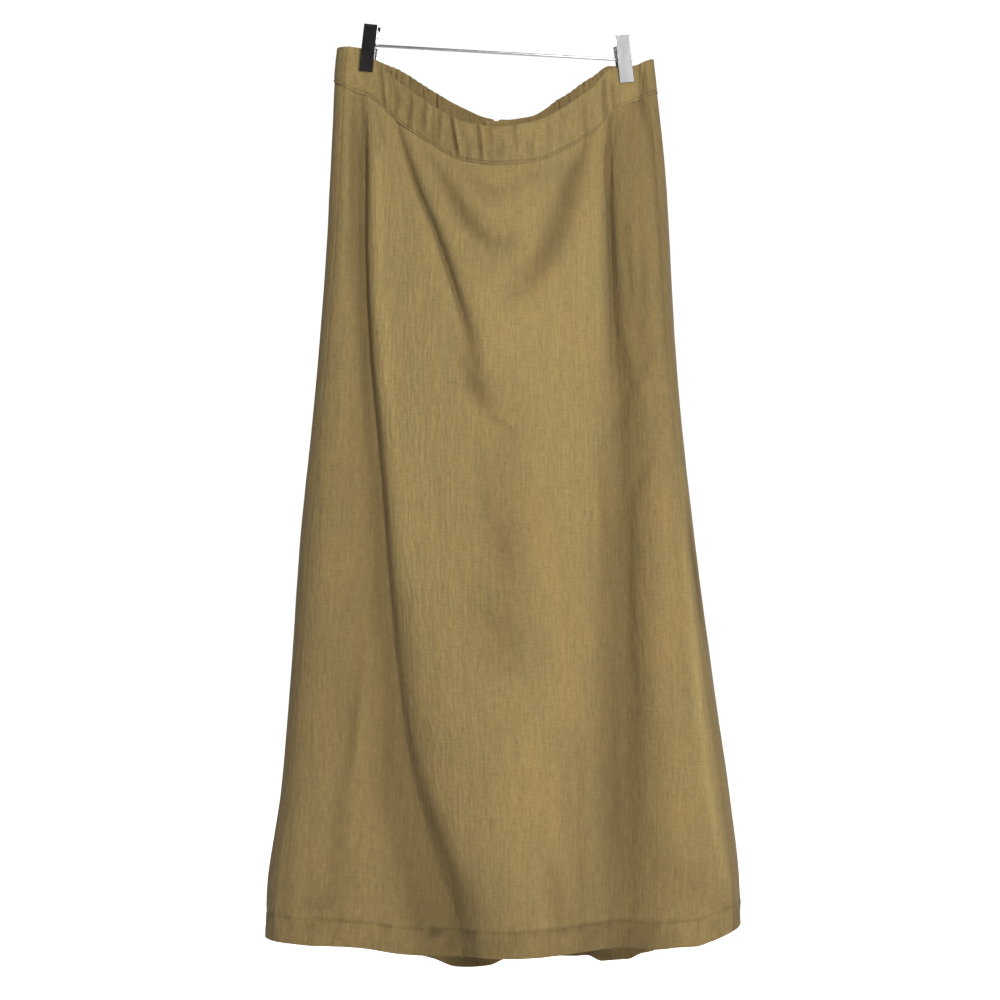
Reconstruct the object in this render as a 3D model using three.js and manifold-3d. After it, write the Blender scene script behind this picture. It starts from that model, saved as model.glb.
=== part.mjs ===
// A midi skirt of plain linen, hung by its waistband from a thin rod with two spring clips.
// Millimetres, +Z up, front towards -Y, left is -X. The origin is the middle of the rod.

import * as THREE from "three";
import { mergeVertices } from "three/addons/utils/BufferGeometryUtils.js";
import Module from "manifold-3d";

const wasm = await Module();
wasm.setup();

// Walls and seams of the cloth.
const CLOTH = 1.2; // one layer
const HEM_WALL = 2.4; // the turned-up hem, with its second layer inside
const HEM_DEPTH = 27;
const HEM_STEP = 1.5; // the height in which the wall thickens at the hem's stitching
const BAND_WALL = 2.4; // the waistband, a folded strip
const BAND_PROUD = 0.6; // how far the band's face stands outside the panels
const SEAM_GAP = 0.3; // kept between pieces that are sewn together
const SIDE_SEAM_IN = 11; // each side seam lies this far in from the silhouette, on the front
const LEAST_DEPTH = 1.95; // half the distance between the front and back layers where they are clamped
const LEAST_SOFT = 0.2; // how softly the form comes down to that

// The zip at the centre back, closed.
const ZIP_LENGTH = 180;
const ZIP_TOP = 4; // the tape's top end below the band's top edge
const ZIP_TAPE_WIDE = 24;
const ZIP_TAPE_THICK = 1;
const TAPE_GAP = 0.5; // from the tape to the band's inner face
const SLIDER_DROP = 9; // slider's middle below the band's top edge
const SLOT_HALF = 2.3; // half the parting of the band's ends at the slider
const SLOT_DROP = 15; // how far down the parting stays that wide
const SLOT_CLOSE = 10; // and the further drop in which it closes

// The slider and its pull tab, in a frame on the band's face: across, outwards and up.
const SLIDER = { wide: 5.2, tall: 9, thick: 1.6, neckWide: 2.8, neckTall: 6 };
const PULL_PIVOT = { out: 3.55, up: 1.6 }; // the eye's axis
const PULL = { bar: 0.65, wide: 5.2, thick: 1.2, long: 24, armWide: 1.1, eye: 6 };
const BAIL = { wide: 2, round: 1.6, bore: 0.75 }; // the slider's loop, which carries the pull

// The hanger.
const ROD_RADIUS = 1.5;
const ROD_FALL = 3.3; // degrees, down towards +X
const ROD_HALF = 139.6;
const CLIP_WIDE = 14.5;
const CLIP_TALL = 48;
const CLIP_SHEET = 1; // the jaws' sheet metal
const CLIP_YAW = 10; // degrees, each clip's front turned outwards with the band's bow
const CLIP_BITE = 3.1; // half the distance between the jaws' tips
const CLIP_OPEN = 6.2; // half the distance over the jaws at their middle
const CLIP_SPLAY = 2; // how much further apart the jaws are at the top than at the middle
const LIP_TALL = 5; // the part of each jaw that bites
const EAR_SHEET = 0.7;
const EAR_ROUND = 2.9;
const EAR_ROOT = 5; // the height over which an ear joins its plate
const METAL_GAP = 0.3; // clearance between the hanger's metal pieces
const ROOM_LONG = 1.1; // how much longer than the rod its clearance is cut
const PIN = { radius: 0.9, up: 12, bore: 1.05, head: 1.7, headThick: 0.6 };
const SPRING = { inner: 1.3, outer: 2.7, turns: 4, long: 8.5, wire: 0.5, legUp: 8 };
const CLIPS = [
  { name: "clip_left", x: -131.2, z: 4, lean: 7.8, side: -1 },
  { name: "clip_right", x: 130, z: -7.2, lean: -7.3, side: 1 },
];
const ROUND_SIDES = 12; // facets of the rod, pins and bores
const LEG_SIDES = 6; // facets of a spring's leg

// The silhouette from the front, by height.
const OUTLINE = [
  { z: 10, left: -164.5, right: 160 },
  { z: -30, left: -168, right: 164 },
  { z: -100, left: -171, right: 171.5 },
  { z: -180, left: -175, right: 177 },
  { z: -265, left: -181, right: 181.5 },
  { z: -390, left: -191.5, right: 191.5 },
  { z: -510, left: -203, right: 204 },
  { z: -635, left: -212, right: 220.5 },
  { z: -760, left: -222.5, right: 239 },
  { z: -860, left: -237, right: 250 },
  { z: -960, left: -241, right: 253 },
];

// Heights of the band's edges and of the hem, across the hanging width from -1, left, to 1, right.
const ACROSS = [
  { s: -1, top: 6.5, seam: -29, backTop: 6.5, hem: -909, backHem: -909 },
  { s: -0.92, top: 6, seam: -37, backTop: 6, hem: -909, backHem: -911 },
  { s: -0.84, top: 4.6, seam: -42.5, backTop: 4.6, hem: -909, backHem: -915 },
  { s: -0.79, top: -1.5, seam: -45, backTop: -1, hem: -909.5, backHem: -918 },
  { s: -0.73, top: -12.5, seam: -52, backTop: -9, hem: -910, backHem: -922 },
  { s: -0.6, top: -31, seam: -73, backTop: -17.5, hem: -912, backHem: -929 },
  { s: -0.4, top: -56, seam: -97.5, backTop: -37.5, hem: -920, backHem: -941 },
  { s: -0.2, top: -75, seam: -116.5, backTop: -55.5, hem: -924, backHem: -953 },
  { s: 0, top: -81, seam: -120.5, backTop: -67.5, hem: -920, backHem: -950 },
  { s: 0.2, top: -75.5, seam: -117.5, backTop: -64.5, hem: -915, backHem: -944 },
  { s: 0.4, top: -60, seam: -103, backTop: -46, hem: -913, backHem: -942 },
  { s: 0.6, top: -36.5, seam: -81.5, backTop: -25, hem: -915.5, backHem: -941 },
  { s: 0.72, top: -17.5, seam: -61, backTop: -14, hem: -911.5, backHem: -930 },
  { s: 0.79, top: -15, seam: -55, backTop: -14, hem: -910.5, backHem: -922 },
  { s: 0.86, top: -13.5, seam: -50, backTop: -13.5, hem: -906, backHem: -913 },
  { s: 1, top: -5.5, seam: -41.5, backTop: -5.5, hem: -896, backHem: -896 },
];

// The long valleys that start under the clips, by height, on the front and on the back.
const FRONT_VALLEYS = [
  { z: 10, left: -131, right: 129.5 },
  { z: -35, left: -134.5, right: 132.5 },
  { z: -75, left: -136, right: 118 },
  { z: -150, left: -136.5, right: 116.5 },
  { z: -255, left: -134, right: 118.5 },
  { z: -360, left: -126, right: 121 },
  { z: -565, left: -108, right: 119 },
  { z: -670, left: -97, right: 125 },
  { z: -760, left: -81, right: 130.5 },
  { z: -830, left: -60, right: 131 },
  { z: -900, left: -38, right: 131 },
  { z: -960, left: -30, right: 131 },
];
const BACK_VALLEYS = [
  { z: 10, left: -131, right: 129.5 },
  { z: -35, left: -134, right: 132.5 },
  { z: -75, left: -128, right: 122 },
  { z: -150, left: -120, right: 115 },
  { z: -255, left: -116, right: 109 },
  { z: -360, left: -113, right: 107 },
  { z: -565, left: -116, right: 101 },
  { z: -670, left: -121, right: 97 },
  { z: -760, left: -126, right: 93 },
  { z: -830, left: -131, right: 89 },
  { z: -900, left: -136, right: 85 },
  { z: -960, left: -140, right: 82 },
];

// How deep the hollow form is, by the drop below the band's top edge. valley is the half depth along
// the long valleys, lobe what the sides add outside them and bulge what the middle adds between them.
const FRONT_DEPTHS = [
  { drop: 0, valley: 2, lobe: 6, bulge: 18 },
  { drop: 30, valley: 2, lobe: 7, bulge: 21 },
  { drop: 60, valley: 4.5, lobe: 9, bulge: 27 },
  { drop: 120, valley: 11, lobe: 10, bulge: 37 },
  { drop: 200, valley: 19, lobe: 9, bulge: 45 },
  { drop: 320, valley: 27, lobe: 8, bulge: 48 },
  { drop: 480, valley: 34, lobe: 8, bulge: 46 },
  { drop: 640, valley: 40, lobe: 8, bulge: 42 },
  { drop: 960, valley: 48, lobe: 8, bulge: 36 },
];
const BACK_DEPTHS = [
  { drop: 0, valley: 2, lobe: 6, bulge: 20 },
  { drop: 30, valley: 2, lobe: 7, bulge: 24 },
  { drop: 60, valley: 4, lobe: 9, bulge: 30 },
  { drop: 120, valley: 11, lobe: 10, bulge: 38 },
  { drop: 200, valley: 18, lobe: 9, bulge: 42 },
  { drop: 320, valley: 25, lobe: 8, bulge: 43 },
  { drop: 480, valley: 31, lobe: 8, bulge: 40 },
  { drop: 640, valley: 36, lobe: 8, bulge: 38 },
  { drop: 960, valley: 44, lobe: 8, bulge: 34 },
];
const BULGE_ROUND = 1.2; // above 1 the bulge meets the valleys more softly

// The form's sides and its lean: edge is the width in which it turns round at the silhouette, level
// the flat half width where a clip bites, and bow how far the middle swings forward.
const SWINGS = [
  { drop: 0, edge: 9, level: 10.5, bow: 11.5 },
  { drop: 30, edge: 10, level: 10.5, bow: 11.5 },
  { drop: 60, edge: 12, level: 4, bow: 10.5 },
  { drop: 120, edge: 17, level: 0, bow: 8 },
  { drop: 200, edge: 24, level: 0, bow: 5 },
  { drop: 320, edge: 32, level: 0, bow: 2 },
  { drop: 480, edge: 40, level: 0, bow: 0 },
  { drop: 640, edge: 48, level: 0, bow: 0 },
  { drop: 960, edge: 62, level: 0, bow: 0 },
];

// Soft troughs pressed into each face, each a path down the cloth: deep is the depth of the trough
// there and wide its half width.
const FRONT_FOLDS = [
  // under the left clip: narrow at first, then a long broad hollow that drifts inwards
  [
    { x: -137, z: -55, deep: 2, wide: 7 },
    { x: -136.5, z: -150, deep: 5, wide: 8 },
    { x: -134, z: -255, deep: 6, wide: 10 },
    { x: -126, z: -360, deep: 6, wide: 13 },
    { x: -108, z: -565, deep: 7, wide: 18 },
    { x: -81, z: -760, deep: 9, wide: 24 },
    { x: -38, z: -900, deep: 10, wide: 28 },
    { x: -30, z: -940, deep: 10, wide: 28 },
  ],
  // a narrow slanting crease from the band, inside the left clip
  [
    { x: -103, z: -80, deep: 3, wide: 7 },
    { x: -90, z: -110, deep: 5, wide: 8 },
    { x: -77, z: -144, deep: 5.5, wide: 9 },
    { x: -57, z: -195, deep: 5, wide: 9 },
    { x: -40, z: -255, deep: 5, wide: 9 },
    { x: -28, z: -300, deep: 3.5, wide: 10 },
    { x: -22, z: -350, deep: 1.5, wide: 12 },
  ],
  // the slack under the middle of the band: a wide U whose arms end at the valleys
  [
    { x: -64, z: -112, deep: 2, wide: 13 },
    { x: -46, z: -140, deep: 4.5, wide: 14 },
    { x: -30, z: -167, deep: 5, wide: 14 },
    { x: -18, z: -191, deep: 4.5, wide: 14 },
    { x: -4, z: -204, deep: 3.5, wide: 14 },
    { x: 10, z: -203, deep: 2, wide: 14 },
  ],
  [
    { x: 90, z: -96, deep: 2, wide: 13 },
    { x: 83, z: -124, deep: 4.5, wide: 14 },
    { x: 74, z: -158, deep: 5, wide: 15 },
    { x: 63, z: -191, deep: 5, wide: 15 },
    { x: 47, z: -217, deep: 4.5, wide: 15 },
    { x: 30, z: -244, deep: 3.5, wide: 15 },
    { x: 18, z: -262, deep: 2, wide: 16 },
  ],
  // under the right clip: a sharp valley, then a broad one to the hem
  [
    { x: 118, z: -66, deep: 2.5, wide: 6 },
    { x: 116, z: -110, deep: 6, wide: 7 },
    { x: 115.5, z: -205, deep: 6.5, wide: 8 },
    { x: 119, z: -294, deep: 5.5, wide: 11 },
    { x: 122, z: -390, deep: 6, wide: 20 },
    { x: 119, z: -565, deep: 7, wide: 24 },
    { x: 131, z: -760, deep: 9, wide: 26 },
    { x: 131, z: -940, deep: 10, wide: 28 },
  ],
  // a shallow hollow in the middle of the lap
  [
    { x: 4, z: -500, deep: 2.5, wide: 32 },
    { x: 12, z: -610, deep: 3, wide: 34 },
  ],
  // a soft hollow low down, between the middle and the right valley
  [
    { x: 78, z: -700, deep: 1.5, wide: 16 },
    { x: 80, z: -840, deep: 4, wide: 20 },
    { x: 78, z: -940, deep: 5, wide: 20 },
  ],
];
const BACK_FOLDS = [
  [
    { x: -70, z: -100, deep: 3, wide: 9 },
    { x: -62, z: -190, deep: 5, wide: 11 },
    { x: -50, z: -330, deep: 4, wide: 15 },
    { x: -46, z: -430, deep: 1.5, wide: 18 },
  ],
  [
    { x: 62, z: -92, deep: 3, wide: 9 },
    { x: 52, z: -220, deep: 5.5, wide: 12 },
    { x: 36, z: -380, deep: 4, wide: 16 },
    { x: 30, z: -470, deep: 1.5, wide: 20 },
  ],
  [
    { x: -118, z: -150, deep: 4, wide: 9 },
    { x: -113, z: -360, deep: 6, wide: 16 },
    { x: -121, z: -670, deep: 8, wide: 22 },
    { x: -138, z: -950, deep: 10, wide: 28 },
  ],
  [
    { x: 114, z: -150, deep: 4, wide: 9 },
    { x: 107, z: -360, deep: 6, wide: 15 },
    { x: 97, z: -670, deep: 8, wide: 22 },
    { x: 83, z: -950, deep: 11, wide: 28 },
  ],
  [
    { x: -34, z: -560, deep: 2, wide: 22 },
    { x: -30, z: -760, deep: 9, wide: 26 },
    { x: -24, z: -960, deep: 14, wide: 28 },
  ],
];

// Where the elastic gathers the back, by x, and the size of the gathers.
const GATHERED = [
  { from: -116, to: -52 },
  { from: 48, to: 112 },
];
const GATHER_FADE = 8; // the width in which the gathers grow at each end of a stretch
const BAND_GATHER = { pitch: 8, high: 1 }; // the puffs on both faces of the band
const PANEL_GATHER = { pitch: 16, high: 1.8, start: 14, long: 95 }; // soft pleats that run down from it

// Grid sizes.
const PANEL_ROWS = 21;
const ROW_CROWDING = 1.25; // above 1 the rows lie closer near the band
const FRONT_COLUMNS = 44;
const BACK_TURN_COLUMNS = 6; // round the silhouette
const BACK_CLIP_COLUMNS = 5; // from there to the gathered stretch, past the clip
const BACK_MIDDLE_COLUMNS = 4; // from the gathered stretch to the centre back

// Each panel's solid stands in upright strips, parted along its hollows and its middle, and at the
// hips, so that no strip bends far. until is where a strip ends, as a share of the panel's width, and
// hipRow the row at which it is parted across, or 0 for a whole one.
const STRIP_HALF_GAP = 0.0004; // as a share of the panel's width too
const HIP_GAP = 0.3;
const FRONT_STRIPS = [
  { name: "front_panel_left_side", until: 0.19, hipRow: 0 },
  { name: "front_panel_left_quarter", until: 0.35, hipRow: 4 },
  { name: "front_panel_left_middle", until: 0.5, hipRow: 3 },
  { name: "front_panel_right_middle", until: 0.66, hipRow: 3 },
  { name: "front_panel_right_quarter", until: 0.8, hipRow: 4 },
  { name: "front_panel_right_side", until: 1, hipRow: 0 },
];
const BACK_RIGHT_STRIPS = [
  { name: "back_panel_right_side", until: 0.62, hipRow: 0 },
  { name: "back_panel_right_quarter", until: 0.82, hipRow: 4 },
  { name: "back_panel_right_middle", until: 1, hipRow: 3 },
];
const BACK_LEFT_STRIPS = [
  { name: "back_panel_left_middle", until: 0.18, hipRow: 3 },
  { name: "back_panel_left_quarter", until: 0.38, hipRow: 4 },
  { name: "back_panel_left_side", until: 1, hipRow: 0 },
];
const BAND_ROWS = 3;
const TURN_END = 112; // degrees from the front's middle, where a back piece has turned the silhouette

const HALF_TURN = 180;
const UPRIGHT = new THREE.Vector3(0, 1, 0); // the way a three.js cylinder stands
const rad = THREE.MathUtils.degToRad;
const deg = THREE.MathUtils.radToDeg;
const { clamp, lerp, smoothstep } = THREE.MathUtils;

// A smooth curve through one column of a table, flat where the column turns.
function curve(rows, along, column) {
  const at = rows.map((row) => row[along]);
  const value = rows.map((row) => row[column]);
  if (at[0] > at[at.length - 1]) {
    at.reverse();
    value.reverse();
  }
  const rise = at.slice(1).map((t, i) => (value[i + 1] - value[i]) / (t - at[i]));
  const slope = at.map((_, i) => {
    if (i === 0) return rise[0];
    if (i === rise.length) return rise[i - 1];
    const [before, after] = [rise[i - 1], rise[i]];
    return before * after <= 0 ? 0 : (2 * before * after) / (before + after);
  });
  return (t) => {
    const x = clamp(t, at[0], at[at.length - 1]);
    let i = 0;
    while (i < at.length - 2 && x > at[i + 1]) i += 1;
    const step = at[i + 1] - at[i];
    const p = (x - at[i]) / step;
    const q = 1 - p;
    return (
      q * q * (1 + 2 * p) * value[i] +
      p * p * (1 + 2 * q) * value[i + 1] +
      p * q * step * (q * slope[i] - p * slope[i + 1])
    );
  };
}

// All columns of a table as curves.
function curves(rows, along) {
  const columns = Object.keys(rows[0]).filter((key) => key !== along);
  return Object.fromEntries(columns.map((key) => [key, curve(rows, along, key)]));
}

const outline = curves(OUTLINE, "z");
const across = curves(ACROSS, "s");
const swings = curves(SWINGS, "drop");
const FRONT = {
  valleys: curves(FRONT_VALLEYS, "z"),
  depths: curves(FRONT_DEPTHS, "drop"),
  folds: FRONT_FOLDS,
};
const BACK = {
  valleys: curves(BACK_VALLEYS, "z"),
  depths: curves(BACK_DEPTHS, "drop"),
  folds: BACK_FOLDS,
};

// A place round the form is an angle: 0 is the middle of the front, 90 the right silhouette,
// 180 the centre back and 270 the left silhouette.
const isFront = (angle) => Math.cos(rad(angle)) > 0;
const share = (angle) => Math.sin(rad(angle));

function bandTop(angle) {
  return isFront(angle) ? across.top(share(angle)) : across.backTop(share(angle));
}

function bandSeam(angle) {
  const s = share(angle);
  return bandTop(angle) - (across.top(s) - across.seam(s));
}

function hemLine(angle) {
  return isFront(angle) ? across.hem(share(angle)) : across.backHem(share(angle));
}

// The trough that one fold presses at (x, z).
function troughDepth(fold, x, z) {
  let best = { far: Infinity, deep: 0, wide: 1 };
  for (let i = 1; i < fold.length; i += 1) {
    const [a, b] = [fold[i - 1], fold[i]];
    const [dx, dz] = [b.x - a.x, b.z - a.z];
    const p = clamp(((x - a.x) * dx + (z - a.z) * dz) / (dx * dx + dz * dz), 0, 1);
    const far = Math.hypot(x - a.x - p * dx, z - a.z - p * dz);
    if (far < best.far) {
      best = { far, deep: lerp(a.deep, b.deep, p), wide: lerp(a.wide, b.wide, p) };
    }
  }
  return best.deep * Math.exp(-((best.far / best.wide) ** 2));
}

// From 0 outside the gathered stretches to 1 well inside one.
function gathered(x) {
  const grown = ({ from, to }) => {
    return smoothstep(x, from, from + GATHER_FADE) * (1 - smoothstep(x, to - GATHER_FADE, to));
  };
  return Math.max(...GATHERED.map(grown));
}

// The soft pleats below the elastic, on the back.
function pleatDepth(below, x) {
  const { pitch, high, start, long } = PANEL_GATHER;
  if (below <= 0 || below >= long) return 0;
  const ripple = (1 - Math.cos((2 * Math.PI * x) / pitch)) / 2;
  const fade = (1 - below / long) ** 1.5 * smoothstep(below, -1, start);
  return high * ripple * fade * gathered(x);
}

// Half the hollow's depth, front or back, at x and height z.
function halfDepth(angle, x, z) {
  const face = isFront(angle) ? FRONT : BACK;
  const drop = bandTop(angle) - z;
  const level = swings.level(drop);
  const [left, right] = [face.valleys.left(z), face.valleys.right(z)];
  const [middleFrom, middleTo] = [left + level, right - level];
  const [leftEnd, rightEnd] = [left - level, right + level];
  let depth = face.depths.valley(drop);
  if (x > middleFrom && x < middleTo) {
    const p = (x - middleFrom) / (middleTo - middleFrom);
    depth += face.depths.bulge(drop) * Math.sin(Math.PI * p) ** BULGE_ROUND;
  } else if (x <= leftEnd) {
    const span = leftEnd - outline.left(z) - swings.edge(drop);
    depth += face.depths.lobe(drop) * smoothstep(leftEnd - x, 0, span);
  } else if (x >= rightEnd) {
    const span = outline.right(z) - swings.edge(drop) - rightEnd;
    depth += face.depths.lobe(drop) * smoothstep(x - rightEnd, 0, span);
  }
  for (const fold of face.folds) depth -= troughDepth(fold, x, z);
  if (!isFront(angle)) depth -= pleatDepth(bandSeam(angle) - z, x);
  const over = depth - LEAST_DEPTH;
  return LEAST_DEPTH + (over + Math.hypot(over, LEAST_SOFT)) / 2;
}

// How far the form's middle plane swings, by x and the drop below the band's top edge.
const swingAt = (x, drop) => swings.bow(drop) * ((x / CLIPS[1].x) ** 2 - 1);

// The cloth's outer face at an angle and a height.
function clothPoint(angle, z) {
  const [left, right] = [outline.left(z), outline.right(z)];
  const [middle, half] = [(left + right) / 2, (right - left) / 2];
  const x = middle + half * share(angle);
  const drop = bandTop(angle) - z;
  const edge = swings.edge(drop);
  const into = clamp((Math.abs(x - middle) - half + edge) / edge, 0, 1);
  const turned = Math.sqrt(1 - into * into);
  const depth = halfDepth(angle, x, z) * turned;
  return new THREE.Vector3(x, swingAt(x, drop) + (isFront(angle) ? -depth : depth), z);
}

// The face's outward direction, kept level so that pieces which meet along an edge stay parted.
function clothNormal(angle, z) {
  const turn = 0.4; // degrees to each side
  const round = clothPoint(angle + turn, z).sub(clothPoint(angle - turn, z));
  return new THREE.Vector3(round.y, -round.x, 0).normalize();
}

// The same place, moved out from the face.
function clothOffset(angle, z, out) {
  return clothPoint(angle, z).addScaledVector(clothNormal(angle, z), out);
}

// The angle that lies a few millimetres further round.
function stepRound(angle, z, millimetres) {
  const turn = 0.5;
  const speed = clothPoint(angle + turn, z).distanceTo(clothPoint(angle - turn, z)) / (2 * turn);
  return angle + millimetres / speed;
}

// Half the upright gap along the band's seam, taller where the seam slopes.
function seamHalfGap(angle) {
  const turn = 0.5;
  const [a, b] = [angle - turn, angle + turn].map((at) => clothPoint(at, bandSeam(at)));
  return ((SEAM_GAP / 2) * a.distanceTo(b)) / Math.hypot(a.x - b.x, a.y - b.y);
}

// The side seams, by height.
const halfWidth = (z) => (outline.right(z) - outline.left(z)) / 2;
const rightSeam = (z) => deg(Math.asin(1 - SIDE_SEAM_IN / halfWidth(z)));
const leftSeam = (z) => -rightSeam(z);

// Half the parting at the centre back.
function backParting(z) {
  const drop = bandTop(HALF_TURN) - z;
  return lerp(SLOT_HALF, SEAM_GAP / 2, smoothstep(drop, SLOT_DROP, SLOT_DROP + SLOT_CLOSE));
}

// Edges of the pieces, as angles by height.
const gapStep = (seam, side) => (z) => stepRound(seam(z), z, (side * SEAM_GAP) / 2);
const EDGES = {
  frontLeft: gapStep(leftSeam, 1),
  frontRight: gapStep(rightSeam, -1),
  backRight: gapStep(rightSeam, 1),
  backLeft: gapStep((z) => leftSeam(z) + 2 * HALF_TURN, -1),
  centreRight: (z) => stepRound(HALF_TURN, z, -backParting(z)),
  centreLeft: (z) => stepRound(HALF_TURN, z, backParting(z)),
};

// A closed wall between an outer and an inner sheet of points, each a list of columns that are
// themselves lists of points from the top down.
function wallGeometry(outer, inner) {
  const [columns, rows] = [outer.length, outer[0].length];
  const positions = [...outer, ...inner].flat().flatMap((point) => point.toArray());
  const place = (sheet, i, j) => (sheet * columns + i) * rows + j;
  const faces = [];
  const quad = (a, b, c, d) => faces.push(a, b, c, a, c, d);
  for (let i = 0; i < columns - 1; i += 1) {
    for (let j = 0; j < rows - 1; j += 1) {
      quad(place(0, i, j), place(0, i, j + 1), place(0, i + 1, j + 1), place(0, i + 1, j));
      quad(place(1, i, j), place(1, i + 1, j), place(1, i + 1, j + 1), place(1, i, j + 1));
    }
    quad(place(0, i, 0), place(0, i + 1, 0), place(1, i + 1, 0), place(1, i, 0));
    const end = rows - 1;
    quad(place(0, i, end), place(1, i, end), place(1, i + 1, end), place(0, i + 1, end));
  }
  for (let j = 0; j < rows - 1; j += 1) {
    quad(place(0, 0, j), place(1, 0, j), place(1, 0, j + 1), place(0, 0, j + 1));
    const end = columns - 1;
    quad(place(0, end, j), place(0, end, j + 1), place(1, end, j + 1), place(1, end, j));
  }
  const geometry = new THREE.BufferGeometry();
  geometry.setAttribute("position", new THREE.Float32BufferAttribute(positions, 3));
  geometry.setIndex(faces);
  return geometry;
}

// The places of one column between two edges: the angle depends a little on the height, and the
// height on the angle, so both are settled together.
function settle(from, to, portion, height) {
  let z = height(lerp(from(-100), to(-100), portion));
  let angle = 0;
  for (let round = 0; round < 4; round += 1) {
    angle = lerp(from(z), to(z), portion);
    z = height(angle);
  }
  return { angle, z };
}

// A wall over a stretch of the form. heights are functions of the angle, from the top down, outs and
// ins give each face's distance from the cloth's outer face.
function clothWall({ from, to, portions, heights, out, inside }) {
  const outer = [];
  const inner = [];
  for (const portion of portions) {
    const places = heights.map((height) => settle(from, to, portion, height));
    outer.push(places.map(({ angle, z }, row) => clothOffset(angle, z, out(angle, z, row))));
    inner.push(places.map(({ angle, z }, row) => clothOffset(angle, z, inside(angle, z, row))));
  }
  return wallGeometry(outer, inner);
}

const evenly = (count) => Array.from({ length: count + 1 }, (_, i) => i / count);

// A back piece's columns: a few round the silhouette, two for each puff of the gathered stretch, and
// wider ones to the centre back. side is 1 for the right piece and -1 for the left.
function backPortions(side) {
  const z = bandSeam(HALF_TURN);
  const middle = (outline.left(z) + outline.right(z)) / 2;
  const angleAt = (x) => HALF_TURN - deg(Math.asin(clamp((side * (x - middle)) / halfWidth(z), -1, 1)));
  const stretch = GATHERED.find(({ from }) => Math.sign(from) === side);
  const [far, near] = side > 0 ? [stretch.to, stretch.from] : [stretch.from, stretch.to];
  const puffs = Math.round(Math.abs(far - near) / (BAND_GATHER.pitch / 2));
  const angles = [
    ...evenly(BACK_TURN_COLUMNS).map((p) => lerp(rightSeam(z), TURN_END, p)),
    ...evenly(BACK_CLIP_COLUMNS).map((p) => lerp(TURN_END, angleAt(far), p)).slice(1),
    ...evenly(puffs).map((p) => angleAt(lerp(far, near, p))).slice(1),
    ...evenly(BACK_MIDDLE_COLUMNS).map((p) => lerp(angleAt(near), HALF_TURN, p)).slice(1),
  ];
  return angles.map((angle) => (angle - rightSeam(z)) / (HALF_TURN - rightSeam(z)));
}

const reversed = (portions) => portions.map((p) => 1 - p).reverse();

// A panel's rows: from the band's seam to the hem's stitching, closer near the band, then the hem.
const panelRows = [
  ...evenly(PANEL_ROWS).map((p) => ({
    wall: CLOTH,
    height: (angle) => {
      const top = bandSeam(angle) - seamHalfGap(angle);
      return lerp(top, hemLine(angle) + HEM_DEPTH, p ** ROW_CROWDING);
    },
  })),
  { wall: HEM_WALL, height: (angle) => hemLine(angle) + HEM_DEPTH - HEM_STEP },
  { wall: HEM_WALL, height: (angle) => hemLine(angle) + HEM_DEPTH / 2 },
  { wall: HEM_WALL, height: (angle) => hemLine(angle) },
];
const raised = ({ wall, height }, by) => ({ wall, height: (angle) => height(angle) + by });

function panelGeometry(from, to, portions, rows) {
  return clothWall({
    from,
    to,
    portions,
    heights: rows.map(({ height }) => height),
    out: () => 0,
    inside: (angle, z, row) => -rows[row].wall,
  });
}

// A band piece, puffed on both faces where the elastic gathers it.
function bandGeometry(from, to, portions) {
  const puff = (angle, z) => {
    if (isFront(angle)) return 0;
    const { x } = clothPoint(angle, z);
    return BAND_GATHER.high * gathered(x) * Math.cos((Math.PI * x) / BAND_GATHER.pitch) ** 2;
  };
  return clothWall({
    from,
    to,
    portions,
    heights: evenly(BAND_ROWS).map((p) => (angle) => {
      return lerp(bandTop(angle), bandSeam(angle) + seamHalfGap(angle), p);
    }),
    out: (angle, z) => BAND_PROUD + puff(angle, z),
    inside: (angle, z) => BAND_PROUD - BAND_WALL - puff(angle, z),
  });
}

// The zip's tape and closed chain, a strip inside the centre back.
function zipTapeGeometry() {
  const face = BAND_PROUD - BAND_WALL - TAPE_GAP;
  const side = (sign) => (z) => stepRound(HALF_TURN, z, (sign * ZIP_TAPE_WIDE) / 2);
  return clothWall({
    from: side(-1),
    to: side(1),
    portions: evenly(6),
    heights: evenly(12).map((p) => () => bandTop(HALF_TURN) - ZIP_TOP - p * ZIP_LENGTH),
    out: () => face,
    inside: () => face - ZIP_TAPE_THICK,
  });
}

const LINEN = { color: 0x9a8558, roughness: 0.92, metalness: 0 };
const TAPE = { color: 0x8c7a52, roughness: 0.85, metalness: 0 };
const ZIP_METAL = { color: 0xa79a78, roughness: 0.35, metalness: 0.9 };
const CHROME = { color: 0xd9dcdf, roughness: 0.12, metalness: 1 };
const SPRING_STEEL = { color: 0x9b9fa3, roughness: 0.3, metalness: 1 };

function meshOf(name, geometry, finish) {
  const mesh = new THREE.Mesh(geometry, new THREE.MeshStandardMaterial(finish));
  mesh.name = name;
  return mesh;
}

// A panel's strips, cut at its own columns and rows.
function panelStrips(strips, from, to, portions) {
  let first = 0;
  return strips.flatMap(({ name, until, hipRow }) => {
    const last = portions.findLastIndex((portion) => portion < until + STRIP_HALF_GAP);
    const columns = portions.slice(first, last + 1);
    if (first > 0) columns[0] += STRIP_HALF_GAP;
    if (last < portions.length - 1) columns[columns.length - 1] -= STRIP_HALF_GAP;
    first = last;
    const strip = (title, rows) => meshOf(title, panelGeometry(from, to, columns, rows), LINEN);
    if (!hipRow) return [strip(name, panelRows)];
    const hip = panelRows[hipRow];
    const upper = [...panelRows.slice(0, hipRow), raised(hip, HIP_GAP / 2)];
    const lower = [raised(hip, -HIP_GAP / 2), ...panelRows.slice(hipRow + 1)];
    return [strip(`${name}_top`, upper), strip(name, lower)];
  });
}

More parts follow.
